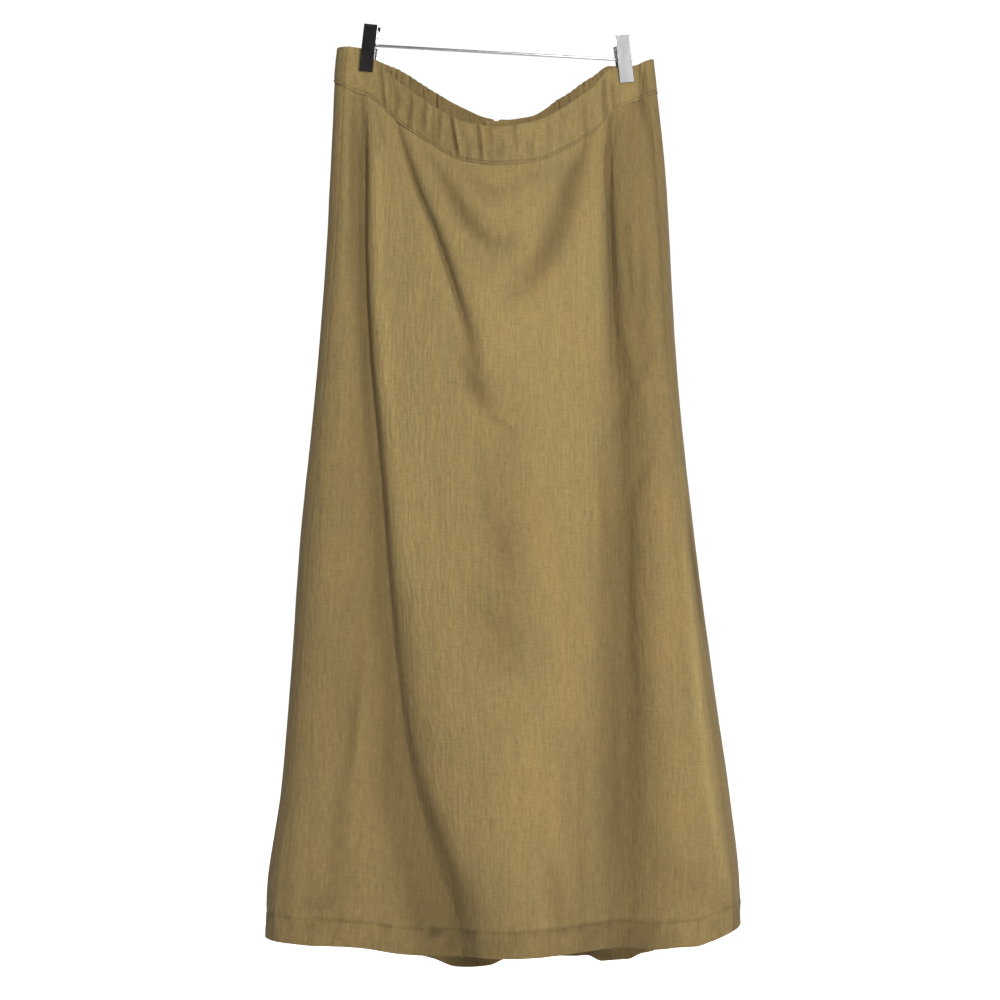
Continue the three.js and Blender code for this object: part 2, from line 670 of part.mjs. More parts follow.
function clothPieces() {
  const { frontLeft, frontRight, backRight, backLeft, centreRight, centreLeft } = EDGES;
  const front = evenly(FRONT_COLUMNS);
  const right = backPortions(1);
  const left = reversed(backPortions(-1));
  return [
    ...panelStrips(FRONT_STRIPS, frontLeft, frontRight, front),
    ...panelStrips(BACK_RIGHT_STRIPS, backRight, centreRight, right),
    ...panelStrips(BACK_LEFT_STRIPS, centreLeft, backLeft, left),
    meshOf("front_waistband", bandGeometry(frontLeft, frontRight, front), LINEN),
    meshOf("back_waistband_right", bandGeometry(backRight, centreRight, right), LINEN),
    meshOf("back_waistband_left", bandGeometry(centreLeft, backLeft, left), LINEN),
    meshOf("zip_tape", zipTapeGeometry(), TAPE),
  ];
}

// A closed geometry as a solid that can be joined and cut, and back.
function solidOf(geometry) {
  geometry.deleteAttribute("normal");
  geometry.deleteAttribute("uv");
  const merged = mergeVertices(geometry, 1e-4);
  const vertProperties = new Float32Array(merged.attributes.position.array);
  const triVerts = new Uint32Array(merged.index.array);
  return new wasm.Manifold(new wasm.Mesh({ numProp: 3, vertProperties, triVerts }));
}

function geometryOf(solid) {
  const mesh = solid.getMesh();
  const geometry = new THREE.BufferGeometry();
  geometry.setAttribute("position", new THREE.BufferAttribute(mesh.vertProperties, 3));
  geometry.setIndex(new THREE.BufferAttribute(mesh.triVerts, 1));
  return geometry;
}

const joined = (pieces) => pieces.reduce((whole, piece) => whole.add(piece));

// A solid whose side view is given by points {out, up}, from across = from to across = to.
function sideProfile(points, from, to) {
  const shape = new THREE.Shape(points.map(({ out, up }) => new THREE.Vector2(out, up)));
  const geometry = new THREE.ExtrudeGeometry(shape, { depth: to - from, bevelEnabled: false });
  const turn = new THREE.Matrix4().makeBasis(
    new THREE.Vector3(0, 1, 0),
    new THREE.Vector3(0, 0, 1),
    new THREE.Vector3(1, 0, 0),
  );
  return solidOf(geometry.applyMatrix4(turn).translate(from, 0, 0));
}

const box = (wide, thick, tall, x, y, z) => {
  return solidOf(new THREE.BoxGeometry(wide, thick, tall).translate(x, y, z));
};

// A cylinder that runs across, from across = from to across = to.
function crossBar(radius, from, to, out, up) {
  const geometry = new THREE.CylinderGeometry(radius, radius, to - from, ROUND_SIDES);
  return solidOf(geometry.rotateZ(Math.PI / 2).translate((from + to) / 2, out, up));
}

const rodGeometry = () => {
  return new THREE.CylinderGeometry(ROD_RADIUS, ROD_RADIUS, 2 * ROD_HALF, ROUND_SIDES);
};

function rodMesh() {
  const mesh = meshOf("hanger_rod", rodGeometry(), CHROME);
  mesh.rotation.z = Math.PI / 2;
  const level = new THREE.Group();
  level.add(mesh);
  level.rotation.y = rad(ROD_FALL);
  return level;
}

// The frame of a clip: across, outwards to the back, and up.
function clipFrame({ x, z, lean, side }) {
  const frame = new THREE.Group();
  frame.position.set(x, swingAt(x, 0), z);
  frame.rotation.set(0, rad(lean), rad(side * CLIP_YAW), "ZYX");
  frame.updateMatrix();
  return frame;
}

// The space that the rod needs, in a clip's frame.
function rodRoom(frame) {
  const wider = (ROD_RADIUS + METAL_GAP) / ROD_RADIUS;
  const geometry = rodGeometry().scale(wider, ROOM_LONG, wider);
  geometry.rotateZ(Math.PI / 2).rotateY(rad(ROD_FALL));
  return solidOf(geometry.applyMatrix4(frame.matrix.clone().invert()));
}

// Where the rod crosses an ear, in a clip's frame.
function rodCrossing(frame, across) {
  const inverse = frame.matrix.clone().invert();
  const reach = new THREE.Vector3(ROD_HALF, 0, 0).applyEuler(new THREE.Euler(0, rad(ROD_FALL), 0));
  const ends = [-1, 1].map((end) => reach.clone().multiplyScalar(end).applyMatrix4(inverse));
  return ends[0].clone().lerp(ends[1], (across - ends[0].x) / (ends[1].x - ends[0].x));
}

// A jaw's plate: a flat sheet that leans in to a lip. face is -1 for the front jaw, 1 for the back.
function jawPlate(face) {
  const half = CLIP_TALL / 2;
  const outside = (up) => CLIP_OPEN + (CLIP_SPLAY * up) / half;
  const lip = -half + LIP_TALL;
  const bend = lip + 2 * LIP_TALL;
  const points = [
    { out: outside(half), up: half },
    { out: outside(half) - CLIP_SHEET, up: half },
    { out: outside(bend) - CLIP_SHEET, up: bend },
    { out: CLIP_BITE, up: lip },
    { out: CLIP_BITE, up: -half },
    { out: outside(-half), up: -half },
  ].map(({ out, up }) => ({ out: face * out, up }));
  return sideProfile(points, -CLIP_WIDE / 2, CLIP_WIDE / 2);
}

// The front jaw: its plate and two ears that carry the pin.
function frontJawGeometry() {
  const outer = CLIP_WIDE / 2 - EAR_SHEET - METAL_GAP;
  const reach = CLIP_OPEN - CLIP_SHEET / 2 + 1;
  const ears = [-1, 1].flatMap((side) => {
    const [from, to] = [side * outer, side * (outer - EAR_SHEET)].sort((a, b) => a - b);
    return [
      crossBar(EAR_ROUND, from, to, 0, PIN.up),
      box(EAR_SHEET, reach, EAR_ROOT, (from + to) / 2, -reach / 2, PIN.up),
    ];
  });
  const bore = crossBar(PIN.bore, -CLIP_WIDE, CLIP_WIDE, 0, PIN.up);
  return geometryOf(joined([jawPlate(-1), ...ears]).subtract(bore));
}

// The back jaw: its plate and two ears outside the front jaw's, down to the rod that they ride on.
function backJawGeometry(frame) {
  const outer = CLIP_WIDE / 2;
  const reach = CLIP_OPEN - CLIP_SHEET / 2 + 1;
  const ears = [-1, 1].flatMap((side) => {
    const [from, to] = [side * outer, side * (outer - EAR_SHEET)].sort((a, b) => a - b);
    const middle = (from + to) / 2;
    const rod = rodCrossing(frame, middle);
    const slant = Math.atan2(-rod.y, PIN.up - rod.z);
    const web = new THREE.BoxGeometry(EAR_SHEET, 2 * EAR_ROUND, Math.hypot(rod.y, PIN.up - rod.z));
    web.rotateX(slant).translate(middle, rod.y / 2, (PIN.up + rod.z) / 2);
    return [
      crossBar(EAR_ROUND, from, to, 0, PIN.up),
      crossBar(EAR_ROUND, from, to, rod.y, rod.z),
      solidOf(web),
      box(EAR_SHEET, reach, EAR_ROOT, middle, reach / 2, PIN.up),
    ];
  });
  const bore = crossBar(PIN.bore, -CLIP_WIDE, CLIP_WIDE, 0, PIN.up);
  return geometryOf(joined([jawPlate(1), ...ears]).subtract(bore).subtract(rodRoom(frame)));
}

// The pin with its two heads.
function pinGeometry() {
  const half = CLIP_WIDE / 2 + METAL_GAP / 2;
  const points = [
    [0, -half - PIN.headThick],
    [PIN.head, -half - PIN.headThick],
    [PIN.head, -half],
    [PIN.radius, -half],
    [PIN.radius, half],
    [PIN.head, half],
    [PIN.head, half + PIN.headThick],
    [0, half + PIN.headThick],
  ].map(([r, along]) => new THREE.Vector2(r, along));
  return new THREE.LatheGeometry(points, ROUND_SIDES).rotateZ(Math.PI / 2).translate(0, 0, PIN.up);
}

// The spring: a close coil round the pin, and two legs that push the jaws' upper halves apart.
function springGeometry() {
  const pitch = SPRING.long / SPRING.turns;
  const crown = (SPRING.outer - SPRING.inner) / 2;
  const waist = SPRING.outer - crown / 2;
  const ridges = Array.from({ length: 2 * SPRING.turns + 1 }, (_, i) => {
    const along = -SPRING.long / 2 + (i * pitch) / 2;
    return new THREE.Vector2(i % 2 ? SPRING.outer : waist, along);
  });
  const bore = [1, -1].map((end) => new THREE.Vector2(SPRING.inner, (end * SPRING.long) / 2));
  const coil = new THREE.LatheGeometry([...ridges, ...bore, ridges[0]], ROUND_SIDES);
  coil.rotateZ(Math.PI / 2).translate(0, 0, PIN.up);
  const legs = [-1, 1].map((face) => {
    const x = face * (SPRING.long / 2 - SPRING.wire);
    const foot = new THREE.Vector3(x, 0, PIN.up + SPRING.inner + crown);
    const tip = new THREE.Vector3(x, face * (CLIP_OPEN - METAL_GAP), PIN.up + SPRING.legUp);
    const leg = new THREE.CylinderGeometry(SPRING.wire, SPRING.wire, foot.distanceTo(tip), LEG_SIDES);
    const along = tip.clone().sub(foot).normalize();
    leg.applyQuaternion(new THREE.Quaternion().setFromUnitVectors(UPRIGHT, along));
    const middle = foot.clone().add(tip).divideScalar(2);
    return solidOf(leg.translate(...middle.toArray()));
  });
  return geometryOf(joined([solidOf(coil), ...legs]));
}

function clipGroup(clip) {
  const frame = clipFrame(clip);
  frame.add(
    meshOf(`${clip.name}_front_jaw`, frontJawGeometry(), CHROME),
    meshOf(`${clip.name}_back_jaw`, backJawGeometry(frame), CHROME),
    meshOf(`${clip.name}_pin`, pinGeometry(), CHROME),
    meshOf(`${clip.name}_spring`, springGeometry(), SPRING_STEEL),
  );
  return frame;
}

// The zip's slider: a plate outside the band, a neck through the parting, and a bail for the pull.
function sliderGeometry() {
  const face = BAND_PROUD + SEAM_GAP;
  const tape = BAND_PROUD - BAND_WALL - TAPE_GAP + SEAM_GAP;
  const outside = face + SLIDER.thick;
  const body = box(SLIDER.wide, SLIDER.thick, SLIDER.tall, 0, (face + outside) / 2, 0);
  const neckLong = outside - tape - SLIDER.thick / 2;
  const neck = box(SLIDER.neckWide, neckLong, SLIDER.neckTall, 0, tape + neckLong / 2, 0);
  const foot = PULL_PIVOT.out - outside + SLIDER.thick / 2;
  const bail = joined([
    crossBar(BAIL.round, -BAIL.wide / 2, BAIL.wide / 2, PULL_PIVOT.out, PULL_PIVOT.up),
    box(BAIL.wide, foot, 2 * BAIL.round, 0, PULL_PIVOT.out - foot / 2, PULL_PIVOT.up),
  ]);
  const bore = crossBar(BAIL.bore, -BAIL.wide, BAIL.wide, PULL_PIVOT.out, PULL_PIVOT.up);
  return geometryOf(joined([body, neck, bail]).subtract(bore));
}

// The pull tab: a bar through the bail, two arms and a plate, hanging down on the slider.
function pullGeometry() {
  const arm = (side) => {
    const x = (side * (PULL.wide - PULL.armWide)) / 2;
    const tall = PULL.eye + 2 * PULL.bar;
    const up = PULL_PIVOT.up + PULL.bar - tall / 2;
    return box(PULL.armWide, PULL.thick, tall, x, PULL_PIVOT.out, up);
  };
  const plateTall = PULL.long - PULL.eye;
  const plateUp = PULL_PIVOT.up - PULL.eye - plateTall / 2;
  const half = PULL.wide / 2;
  const bar = crossBar(PULL.bar, -half, half, PULL_PIVOT.out, PULL_PIVOT.up);
  const plate = box(PULL.wide, PULL.thick, plateTall, 0, PULL_PIVOT.out, plateUp);
  return geometryOf(joined([bar, arm(-1), arm(1), plate]));
}

function zipMetal() {
  const z = bandTop(HALF_TURN) - SLIDER_DROP;
  const reach = SLIDER.tall;
  const up = clothPoint(HALF_TURN, z + reach).sub(clothPoint(HALF_TURN, z - reach));
  const frame = new THREE.Group();
  frame.position.copy(clothPoint(HALF_TURN, z));
  frame.rotation.x = -Math.atan2(up.y, up.z);
  frame.add(
    meshOf("zip_slider", sliderGeometry(), ZIP_METAL),
    meshOf("zip_pull", pullGeometry(), ZIP_METAL),
  );
  return frame;
}

const skirt = new THREE.Group();
skirt.add(...clothPieces(), zipMetal(), rodMesh(), ...CLIPS.map(clipGroup));
export default skirt;
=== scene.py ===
"""Midi skirt of plain linen on a clip hanger: its looks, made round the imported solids.

+Z is up and the front faces -Y. The tables and sums are in millimetres, the meshes in metres.
A place round the cloth is an angle in degrees: 0 is the middle of the front, 90 the right
silhouette, 180 the centre back and 270 the left silhouette.
"""

import math

import bpy
import numpy as np
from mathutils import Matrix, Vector


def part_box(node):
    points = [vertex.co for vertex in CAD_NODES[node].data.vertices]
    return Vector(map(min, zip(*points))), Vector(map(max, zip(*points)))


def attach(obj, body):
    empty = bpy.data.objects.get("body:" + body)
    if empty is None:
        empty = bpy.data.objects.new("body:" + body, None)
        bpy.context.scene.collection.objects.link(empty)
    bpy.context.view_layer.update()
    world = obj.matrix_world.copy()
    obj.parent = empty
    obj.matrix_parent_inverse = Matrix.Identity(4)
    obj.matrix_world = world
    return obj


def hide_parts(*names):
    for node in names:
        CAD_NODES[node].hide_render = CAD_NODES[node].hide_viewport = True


bl_info = {
    "name": "Midi Skirt on a Clip Hanger",
    "version": (1, 0, 0),
    "blender": (4, 5, 0),
    "location": "View3D > Sidebar > Skirt",
    "description": "Makes a linen midi skirt, its sewing and its hanger round the solids",
    "category": "Object",
}

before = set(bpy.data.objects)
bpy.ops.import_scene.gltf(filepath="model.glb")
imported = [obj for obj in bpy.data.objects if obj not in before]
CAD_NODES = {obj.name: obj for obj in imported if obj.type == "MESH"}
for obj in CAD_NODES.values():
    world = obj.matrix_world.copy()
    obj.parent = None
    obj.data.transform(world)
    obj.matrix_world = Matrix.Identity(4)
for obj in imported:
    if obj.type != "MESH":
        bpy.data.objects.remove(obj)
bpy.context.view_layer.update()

MM = 0.001
CENTRE_BACK = 180
SKIRT_BODY = "skirt"
PULL_BODY = "zip_pull"
CAMERA_X = 0.003
CAMERA_Z = -0.4606
LIGHT_AIM = (0, 0, -0.45)


# ---------------------------------------------------------------- tables of the form


def table(names, *rows):
    """Named columns from rows of numbers."""
    return {name: np.array(column, float) for name, column in zip(names.split(), zip(*rows))}


OUTLINE = table(
    "z left right",
    (10, -164.5, 160),
    (-30, -168, 164),
    (-100, -171, 171.5),
    (-180, -175, 177),
    (-265, -181, 181.5),
    (-390, -191.5, 191.5),
    (-510, -203, 204),
    (-635, -212, 220.5),
    (-760, -222.5, 239),
    (-860, -237, 250),
    (-960, -241, 253),
)

# Heights of the band's edges and of the hem, by the share of the width from -1, left, to 1, right.
ACROSS = table(
    "s top seam back_top hem back_hem",
    (-1, 6.5, -29, 6.5, -909, -909),
    (-0.92, 6, -37, 6, -909, -911),
    (-0.84, 4.6, -42.5, 4.6, -909, -915),
    (-0.79, -1.5, -45, -1, -909.5, -918),
    (-0.73, -12.5, -52, -9, -910, -922),
    (-0.6, -31, -73, -17.5, -912, -929),
    (-0.4, -56, -97.5, -37.5, -920, -941),
    (-0.2, -75, -116.5, -55.5, -924, -953),
    (0, -81, -120.5, -67.5, -920, -950),
    (0.2, -75.5, -117.5, -64.5, -915, -944),
    (0.4, -60, -103, -46, -913, -942),
    (0.6, -36.5, -81.5, -25, -915.5, -941),
    (0.72, -17.5, -61, -14, -911.5, -930),
    (0.79, -15, -55, -14, -910.5, -922),
    (0.86, -13.5, -50, -13.5, -906, -913),
    (1, -5.5, -41.5, -5.5, -896, -896),
)

FRONT_VALLEYS = table(
    "z left right",
    (10, -131, 129.5),
    (-35, -134.5, 132.5),
    (-75, -136, 118),
    (-150, -136.5, 116.5),
    (-255, -134, 118.5),
    (-360, -126, 121),
    (-565, -108, 119),
    (-670, -97, 125),
    (-760, -81, 130.5),
    (-830, -60, 131),
    (-900, -38, 131),
    (-960, -30, 131),
)
BACK_VALLEYS = table(
    "z left right",
    (10, -131, 129.5),
    (-35, -134, 132.5),
    (-75, -128, 122),
    (-150, -120, 115),
    (-255, -116, 109),
    (-360, -113, 107),
    (-565, -116, 101),
    (-670, -121, 97),
    (-760, -126, 93),
    (-830, -131, 89),
    (-900, -136, 85),
    (-960, -140, 82),
)

# Half depths of the hollow form by the drop below the band's top edge: along the long valleys, what
# the sides add outside them and what the middle adds between them.
FRONT_DEPTHS = table(
    "drop valley lobe bulge",
    (0, 2, 6, 18),
    (30, 2, 7, 21),
    (60, 4.5, 9, 27),
    (120, 11, 10, 37),
    (200, 19, 9, 45),
    (320, 27, 8, 48),
    (480, 34, 8, 46),
    (640, 40, 8, 42),
    (960, 48, 8, 36),
)
BACK_DEPTHS = table(
    "drop valley lobe bulge",
    (0, 2, 6, 20),
    (30, 2, 7, 24),
    (60, 4, 9, 30),
    (120, 11, 10, 38),
    (200, 18, 9, 42),
    (320, 25, 8, 43),
    (480, 31, 8, 40),
    (640, 36, 8, 38),
    (960, 44, 8, 34),
)
BULGE_ROUND = 1.2
LEAST_DEPTH = 1.95
LEAST_SOFT = 0.2

# The width in which the form turns at the silhouette, the flat half width where a clip bites, and
# how far the middle swings forward.
SWINGS = table(
    "drop edge level bow",
    (0, 9, 10.5, 11.5),
    (30, 10, 10.5, 11.5),
    (60, 12, 4, 10.5),
    (120, 17, 0, 8),
    (200, 24, 0, 5),
    (320, 32, 0, 2),
    (480, 40, 0, 0),
    (640, 48, 0, 0),
    (960, 62, 0, 0),
)
CLIP_X = 130


def fold(*rows, lean=1.0):
    """A path down the cloth: x, z, depth pressed in (raised where negative) and half width. A lean
    over 1 makes its left side wider and softer and its right side steeper."""
    return table("x z deep wide", *rows) | {"lean": lean}


LONG_FOLDS_FRONT = [
    fold(
        (-137, -55, 2, 7), (-136.5, -150, 5, 8), (-134, -255, 6, 10), (-126, -360, 6, 13),
        (-110, -565, 7, 18), (-86, -760, 9, 24), (-50, -880, 10, 28), (-38, -940, 10, 28),
        lean=1.25,
    ),
    fold(
        (-103, -80, 2, 6), (-90, -120, 3, 7), (-77, -153, 4, 8), (-60, -195, 4.5, 8),
        (-41, -255, 4.5, 9), (-28, -300, 3.5, 10), (-22, -350, 1.5, 12),
    ),
    fold(
        (-66, -114, 2, 12), (-50, -142, 4, 13), (-34, -169, 5, 13), (-19, -190, 4.5, 13),
        (-4, -202, 3.5, 14), (12, -200, 2, 14), lean=1.2,
    ),
    fold(
        (92, -92, 2, 10), (83, -122, 4, 13), (73, -158, 5, 15), (62, -191, 5, 15),
        (48, -217, 4.5, 15), (31, -242, 3.5, 15), (17, -258, 2, 16),
    ),
    fold(
        (118, -66, 2.5, 6), (114, -110, 6, 7), (115.5, -205, 6.5, 8), (119, -294, 5.5, 12),
        (127, -390, 6, 22), (129, -565, 7, 24), (132, -760, 9, 24), (131, -860, 9, 26),
        (131, -940, 10, 28),
    ),
    fold((4, -500, 2.5, 32), (12, -610, 3, 34)),
    fold((78, -700, 1.5, 16), (80, -840, 4, 20), (78, -940, 5, 20)),
]
LONG_FOLDS_BACK = [
    fold((-70, -100, 3, 9), (-62, -190, 5, 11), (-50, -330, 4, 15), (-46, -430, 1.5, 18)),
    fold((62, -92, 3, 9), (52, -220, 5.5, 12), (36, -380, 4, 16), (30, -470, 1.5, 20)),
    fold((-118, -150, 4, 9), (-113, -360, 6, 16), (-121, -670, 8, 22), (-138, -950, 10, 28)),
    fold((114, -150, 4, 9), (107, -360, 6, 15), (97, -670, 8, 22), (83, -950, 11, 28)),
    fold((-34, -560, 2, 22), (-30, -760, 9, 26), (-24, -960, 14, 28)),
]

# Finer creases, placed one by one.
CREASES_FRONT = [
    # beside the left clip
    fold(
        (-146, -38, 0.8, 4), (-146, -80, 2, 5), (-147, -130, 2, 5), (-148, -200, 1.5, 6),
        (-148, -260, 0.3, 6),
    ),
    fold((-125, -60, 0.4, 3), (-120.5, -79, 1.2, 2.6), (-116, -97, 0.3, 3)),
    # the sharp line at the bottom of the long left hollow, which widens towards the hem
    fold(
        (-138, -40, 1.5, 2.8), (-136.5, -69, 3, 2.8), (-136, -110, 4, 3), (-135.4, -193, 5, 3.2),
        (-134, -234, 5, 3.6), (-130, -316, 5.5, 5), (-121.5, -399, 6, 6), (-116.4, -461, 6, 6.2),
        (-109.2, -564, 5.8, 6.4), (-101, -656, 5, 7.5), (-95.8, -697, 4.6, 9), (-88.6, -739, 4, 12),
        (-77, -770, 3.6, 15), (-63, -811, 3.4, 18), (-46, -852, 3, 21), (-30, -893, 1.6, 24),
        lean=1.35,
    ),
    fold(
        (-104, -690, 0.5, 10), (-100, -735, 2.2, 14), (-93, -775, 3, 18), (-82, -820, 3, 22),
        (-68, -865, 2.8, 24), (-55, -905, 1.6, 26),
    ),
    # the roll on the middle's side of it, painted lighter as well as raised; the wider second path is raised
    # so little that it is there mostly for its painted light
    fold(
        (-124, -110, -1.2, 8), (-123, -250, -2, 10), (-110, -400, -2.2, 12), (-98, -540, -1.6, 14),
    ),
    fold(
        (-98, -190, -0.3, 18), (-92, -290, -1, 24), (-86, -400, -1.3, 27), (-78, -500, -1.2, 28),
        (-66, -600, -0.7, 26), (-52, -700, -0.2, 24),
    ),
    # the slanting crease's sharp line
    fold(
        (-103, -77, 1.5, 2.4), (-95.8, -100, 2.5, 2.6), (-80.3, -146.5, 4, 2.9),
        (-64, -185, 4.4, 3), (-47.4, -234, 4.6, 3.4), (-39, -260, 4.4, 3.8),
        (-32, -285.5, 3.6, 4.8), (-26.8, -304, 1.8, 6), (-23.7, -322, 0.4, 7), lean=0.75,
    ),
    # soft dents further down its line
    fold(
        (-46, -291, 0.6, 7), (-38, -316, 1.6, 8), (-28, -342, 2.8, 9), (-17.5, -360, 2.4, 9),
        (-5, -376, 1.2, 9),
    ),
    fold((-30, -301, 0.8, 7), (-24, -322, 1.8, 8), (-20, -342, 2, 9), (-10, -358, 1, 9)),
    # a short sharp wrinkle
    fold((-9, -377, 0.5, 2.6), (3, -381, 1.8, 2.4), (14.4, -389.5, 1.8, 2.4), (21, -396, 0.3, 3)),
    fold((-4, -374, -0.3, 3), (6, -377.5, -1, 3), (17, -384, -0.8, 3)),
    # the hollows that lie one below another down the middle
    fold(
        (5, -350, 0.8, 22), (8, -400, 1.8, 25), (10, -460, 2, 27), (12, -510, 1.8, 25),
        (16, -545, 0.8, 22),
    ),
    fold(
        (-20, -399, 0.4, 7), (-16.5, -440, 0.9, 8), (-9, -476, 1, 9), (3, -507, 0.8, 10),
        (15, -528, 0.2, 10),
    ),
    fold((5, -545, 0.6, 26), (6, -580, 1.4, 30), (8, -615, 1.2, 32), (10, -650, 0.3, 34)),
    fold(
        (-28, -522, 0.3, 9), (-24, -553, 0.9, 10), (-13, -576, 1.1, 10), (3, -592, 0.8, 11),
        (24, -598, 0.4, 11),
    ),
    # the shallow upper U
    fold(
        (-43, -116, 0.5, 8), (-28, -131, 1.4, 9), (-17, -143, 2, 10), (-5, -152, 2, 10),
        (8, -147, 1.4, 9), (24, -138, 1.2, 8), (44, -129, 1, 8), (65, -119, 0.3, 8),
    ),
    # the lower edge of the wide U, sharper on its left
    fold(
        (-79, -90, 0.5, 4), (-66, -116, 1.2, 4.5), (-54, -136, 1.8, 5), (-43, -157, 2.6, 5.5),
        (-31, -177, 2.8, 6), (-20, -191, 2.2, 6.5), (-7, -199, 1.6, 7), (8, -199, 0.8, 7),
        (24, -193, 0.2, 8), lean=1.15,
    ),
    # its right arm
    fold(
        (93, -83, 1.2, 2.6), (89.6, -100, 2.4, 3.2), (83.4, -116, 2.2, 4.5), (76, -131, 1.6, 7),
        (68, -152, 0.8, 10),
    ),
    fold(
        (80, -121, 1, 9), (71, -157, 2.4, 12), (61, -188, 3, 13), (49, -215, 2.6, 13),
        (34, -237, 1.6, 13), (17.5, -255, 0.5, 12),
    ),
    # the right valley's sharp upper line
    fold(
        (119.5, -56, 1.5, 2.6), (115.4, -74, 3, 2.8), (113.3, -100, 4, 3), (113.3, -131, 4.6, 3),
        (116, -193, 4.6, 3.2), (118, -255, 4.2, 3.6), (118.5, -285, 3.4, 4), (118.5, -311, 2.2, 5),
        (119.5, -337, 0.4, 6), lean=0.8,
    ),
    # streaks beyond it
    fold(
        (141, -33, 2.4, 4), (148, -54, 2.4, 4.5), (155.5, -80, 2, 5), (160, -110, 1.6, 5),
        (164, -152, 1.6, 4), (167, -193, 1.6, 3.6), (170, -244, 1.4, 3.6), (173, -285, 1, 4),
        (176, -327, 0.2, 5),
    ),
    fold((129, -152, 0.4, 4), (132, -203, 1.2, 4), (136, -244, 1.4, 4), (140, -285, 0.3, 5)),
    fold((147, -182, 0.4, 4), (148, -234, 1.3, 4.5), (146, -285, 1.3, 5), (150, -332, 0.3, 6)),
    fold(
        (127, -296, 0.3, 3.5), (131, -318, 0.9, 3), (135, -342, 1.4, 3.2), (131, -363, 1, 5),
        (122.6, -386, 0.7, 7), (118.5, -409, 0.3, 8),
    ),
    fold((160, -296, 0.3, 5), (152, -322, 1.2, 5), (143, -337, 1.4, 4.5), (136, -346, 1, 4)),
    fold(
        (163, -388, 0.4, 5), (152, -430, 1.4, 5), (141, -450, 1.4, 5), (135, -481, 1, 6),
        (133, -522, 1.4, 6), (133, -564, 2, 6), (135, -615, 1.8, 6), (136, -667, 1, 8),
        (133, -728, 0.4, 10),
    ),
    fold((112, -400, 0.3, 5), (110, -450, 1.2, 6), (112, -520, 1.2, 6), (114, -570, 0.3, 6)),
    fold(
        (126, -440, 0.4, 20), (128, -510, 1.6, 20), (128, -600, 2, 20), (129, -700, 1.8, 20),
        (127, -790, 1.6, 18), (126, -850, 0.8, 15), (126, -885, 0.1, 12),
    ),
    # the line low on the left, with the soft ridge beside it
    fold(
        (-136, -605, 0.3, 4), (-140, -636, 1, 4), (-144, -667, 1.6, 4), (-148, -703, 2, 4.5),
        (-151, -728, 1.6, 6), (-157, -759, 1.6, 10), (-161, -800, 1.8, 13), (-164, -852, 1.8, 14),
        (-167, -888, 0.8, 14), lean=0.85,
    ),
    fold(
        (-134, -640, -0.4, 7), (-138, -700, -1.6, 8), (-142, -750, -1.2, 9), (-146, -800, -0.3, 11),
    ),
    fold((-190, -830, 0.4, 10), (-182, -868, 1.6, 13), (-178, -890, 1, 13)),
    # faint wrinkles low in the middle and on the right
    fold(
        (83, -687, 0.3, 4), (85.5, -728, 0.8, 4), (84.5, -770, 0.6, 4), (85.5, -821, 1.2, 3),
        (85.5, -872, 0.8, 3.4),
    ),
    fold((52, -806, 0.5, 7), (55, -831, 1.8, 8), (58, -862, 1.8, 9), (62, -885, 0.8, 9)),
    fold((148, -800, 0.3, 18), (172, -832, 1.4, 22), (200, -850, 1.2, 20), (220, -860, 0.3, 16)),
    # the ridge along the right side seam, painted lighter as well as raised, with the slit beyond it,
    # painted darker as well as pressed in
    fold(
        (189, -430, -0.6, 4), (192, -470, -1.6, 4), (194, -520, -2.2, 4.5), (197, -570, -2.4, 5),
        (202, -615, -2.8, 5.5), (208, -687, -3.2, 6), (214, -749, -3.2, 6), (222, -790, -3, 6),
        (231, -836, -2, 5), (239, -870, -0.3, 5),
    ),
    fold(
        (192.6, -450, 1, 2.8), (194.7, -481, 3.4, 2.8), (197.8, -507, 4.6, 2.8),
        (202, -533, 4.6, 2.8), (206, -564, 3.4, 2.8), (210, -594, 1.8, 3), (214, -625, 0.3, 3),
    ),
]
SHARP_LINES = [path for path in CREASES_FRONT if path["lean"] != 1 and path["deep"].max() > 3]
CREASES_BACK = [
    fold((-92, -76, 1, 4), (-86, -140, 1.8, 5), (-84, -220, 1.2, 6), (-82, -290, 0.2, 7)),
    fold((88, -78, 1, 4), (84, -150, 1.8, 5), (80, -240, 1.2, 6), (80, -300, 0.2, 7)),
    fold((-118, -140, 1, 5), (-114, -300, 1.8, 6), (-116, -460, 1.2, 8), (-120, -560, 0.2, 10)),
    fold((115, -130, 1, 5), (109, -300, 1.8, 6), (103, -480, 1.2, 8), (99, -600, 0.2, 10)),
    fold((150, -260, 0.3, 6), (156, -400, 1.6, 8), (164, -560, 1.2, 10), (170, -680, 0.2, 10)),
    fold((-152, -300, 0.3, 6), (-160, -460, 1.6, 8), (-170, -620, 1.2, 10), (-176, -720, 0.2, 10)),
    fold((40, -600, 0.3, 10), (44, -720, 1.8, 12), (40, -860, 1.4, 12)),
    fold((-70, -560, 0.3, 10), (-78, -700, 1.8, 12), (-82, -860, 1.6, 12)),
]

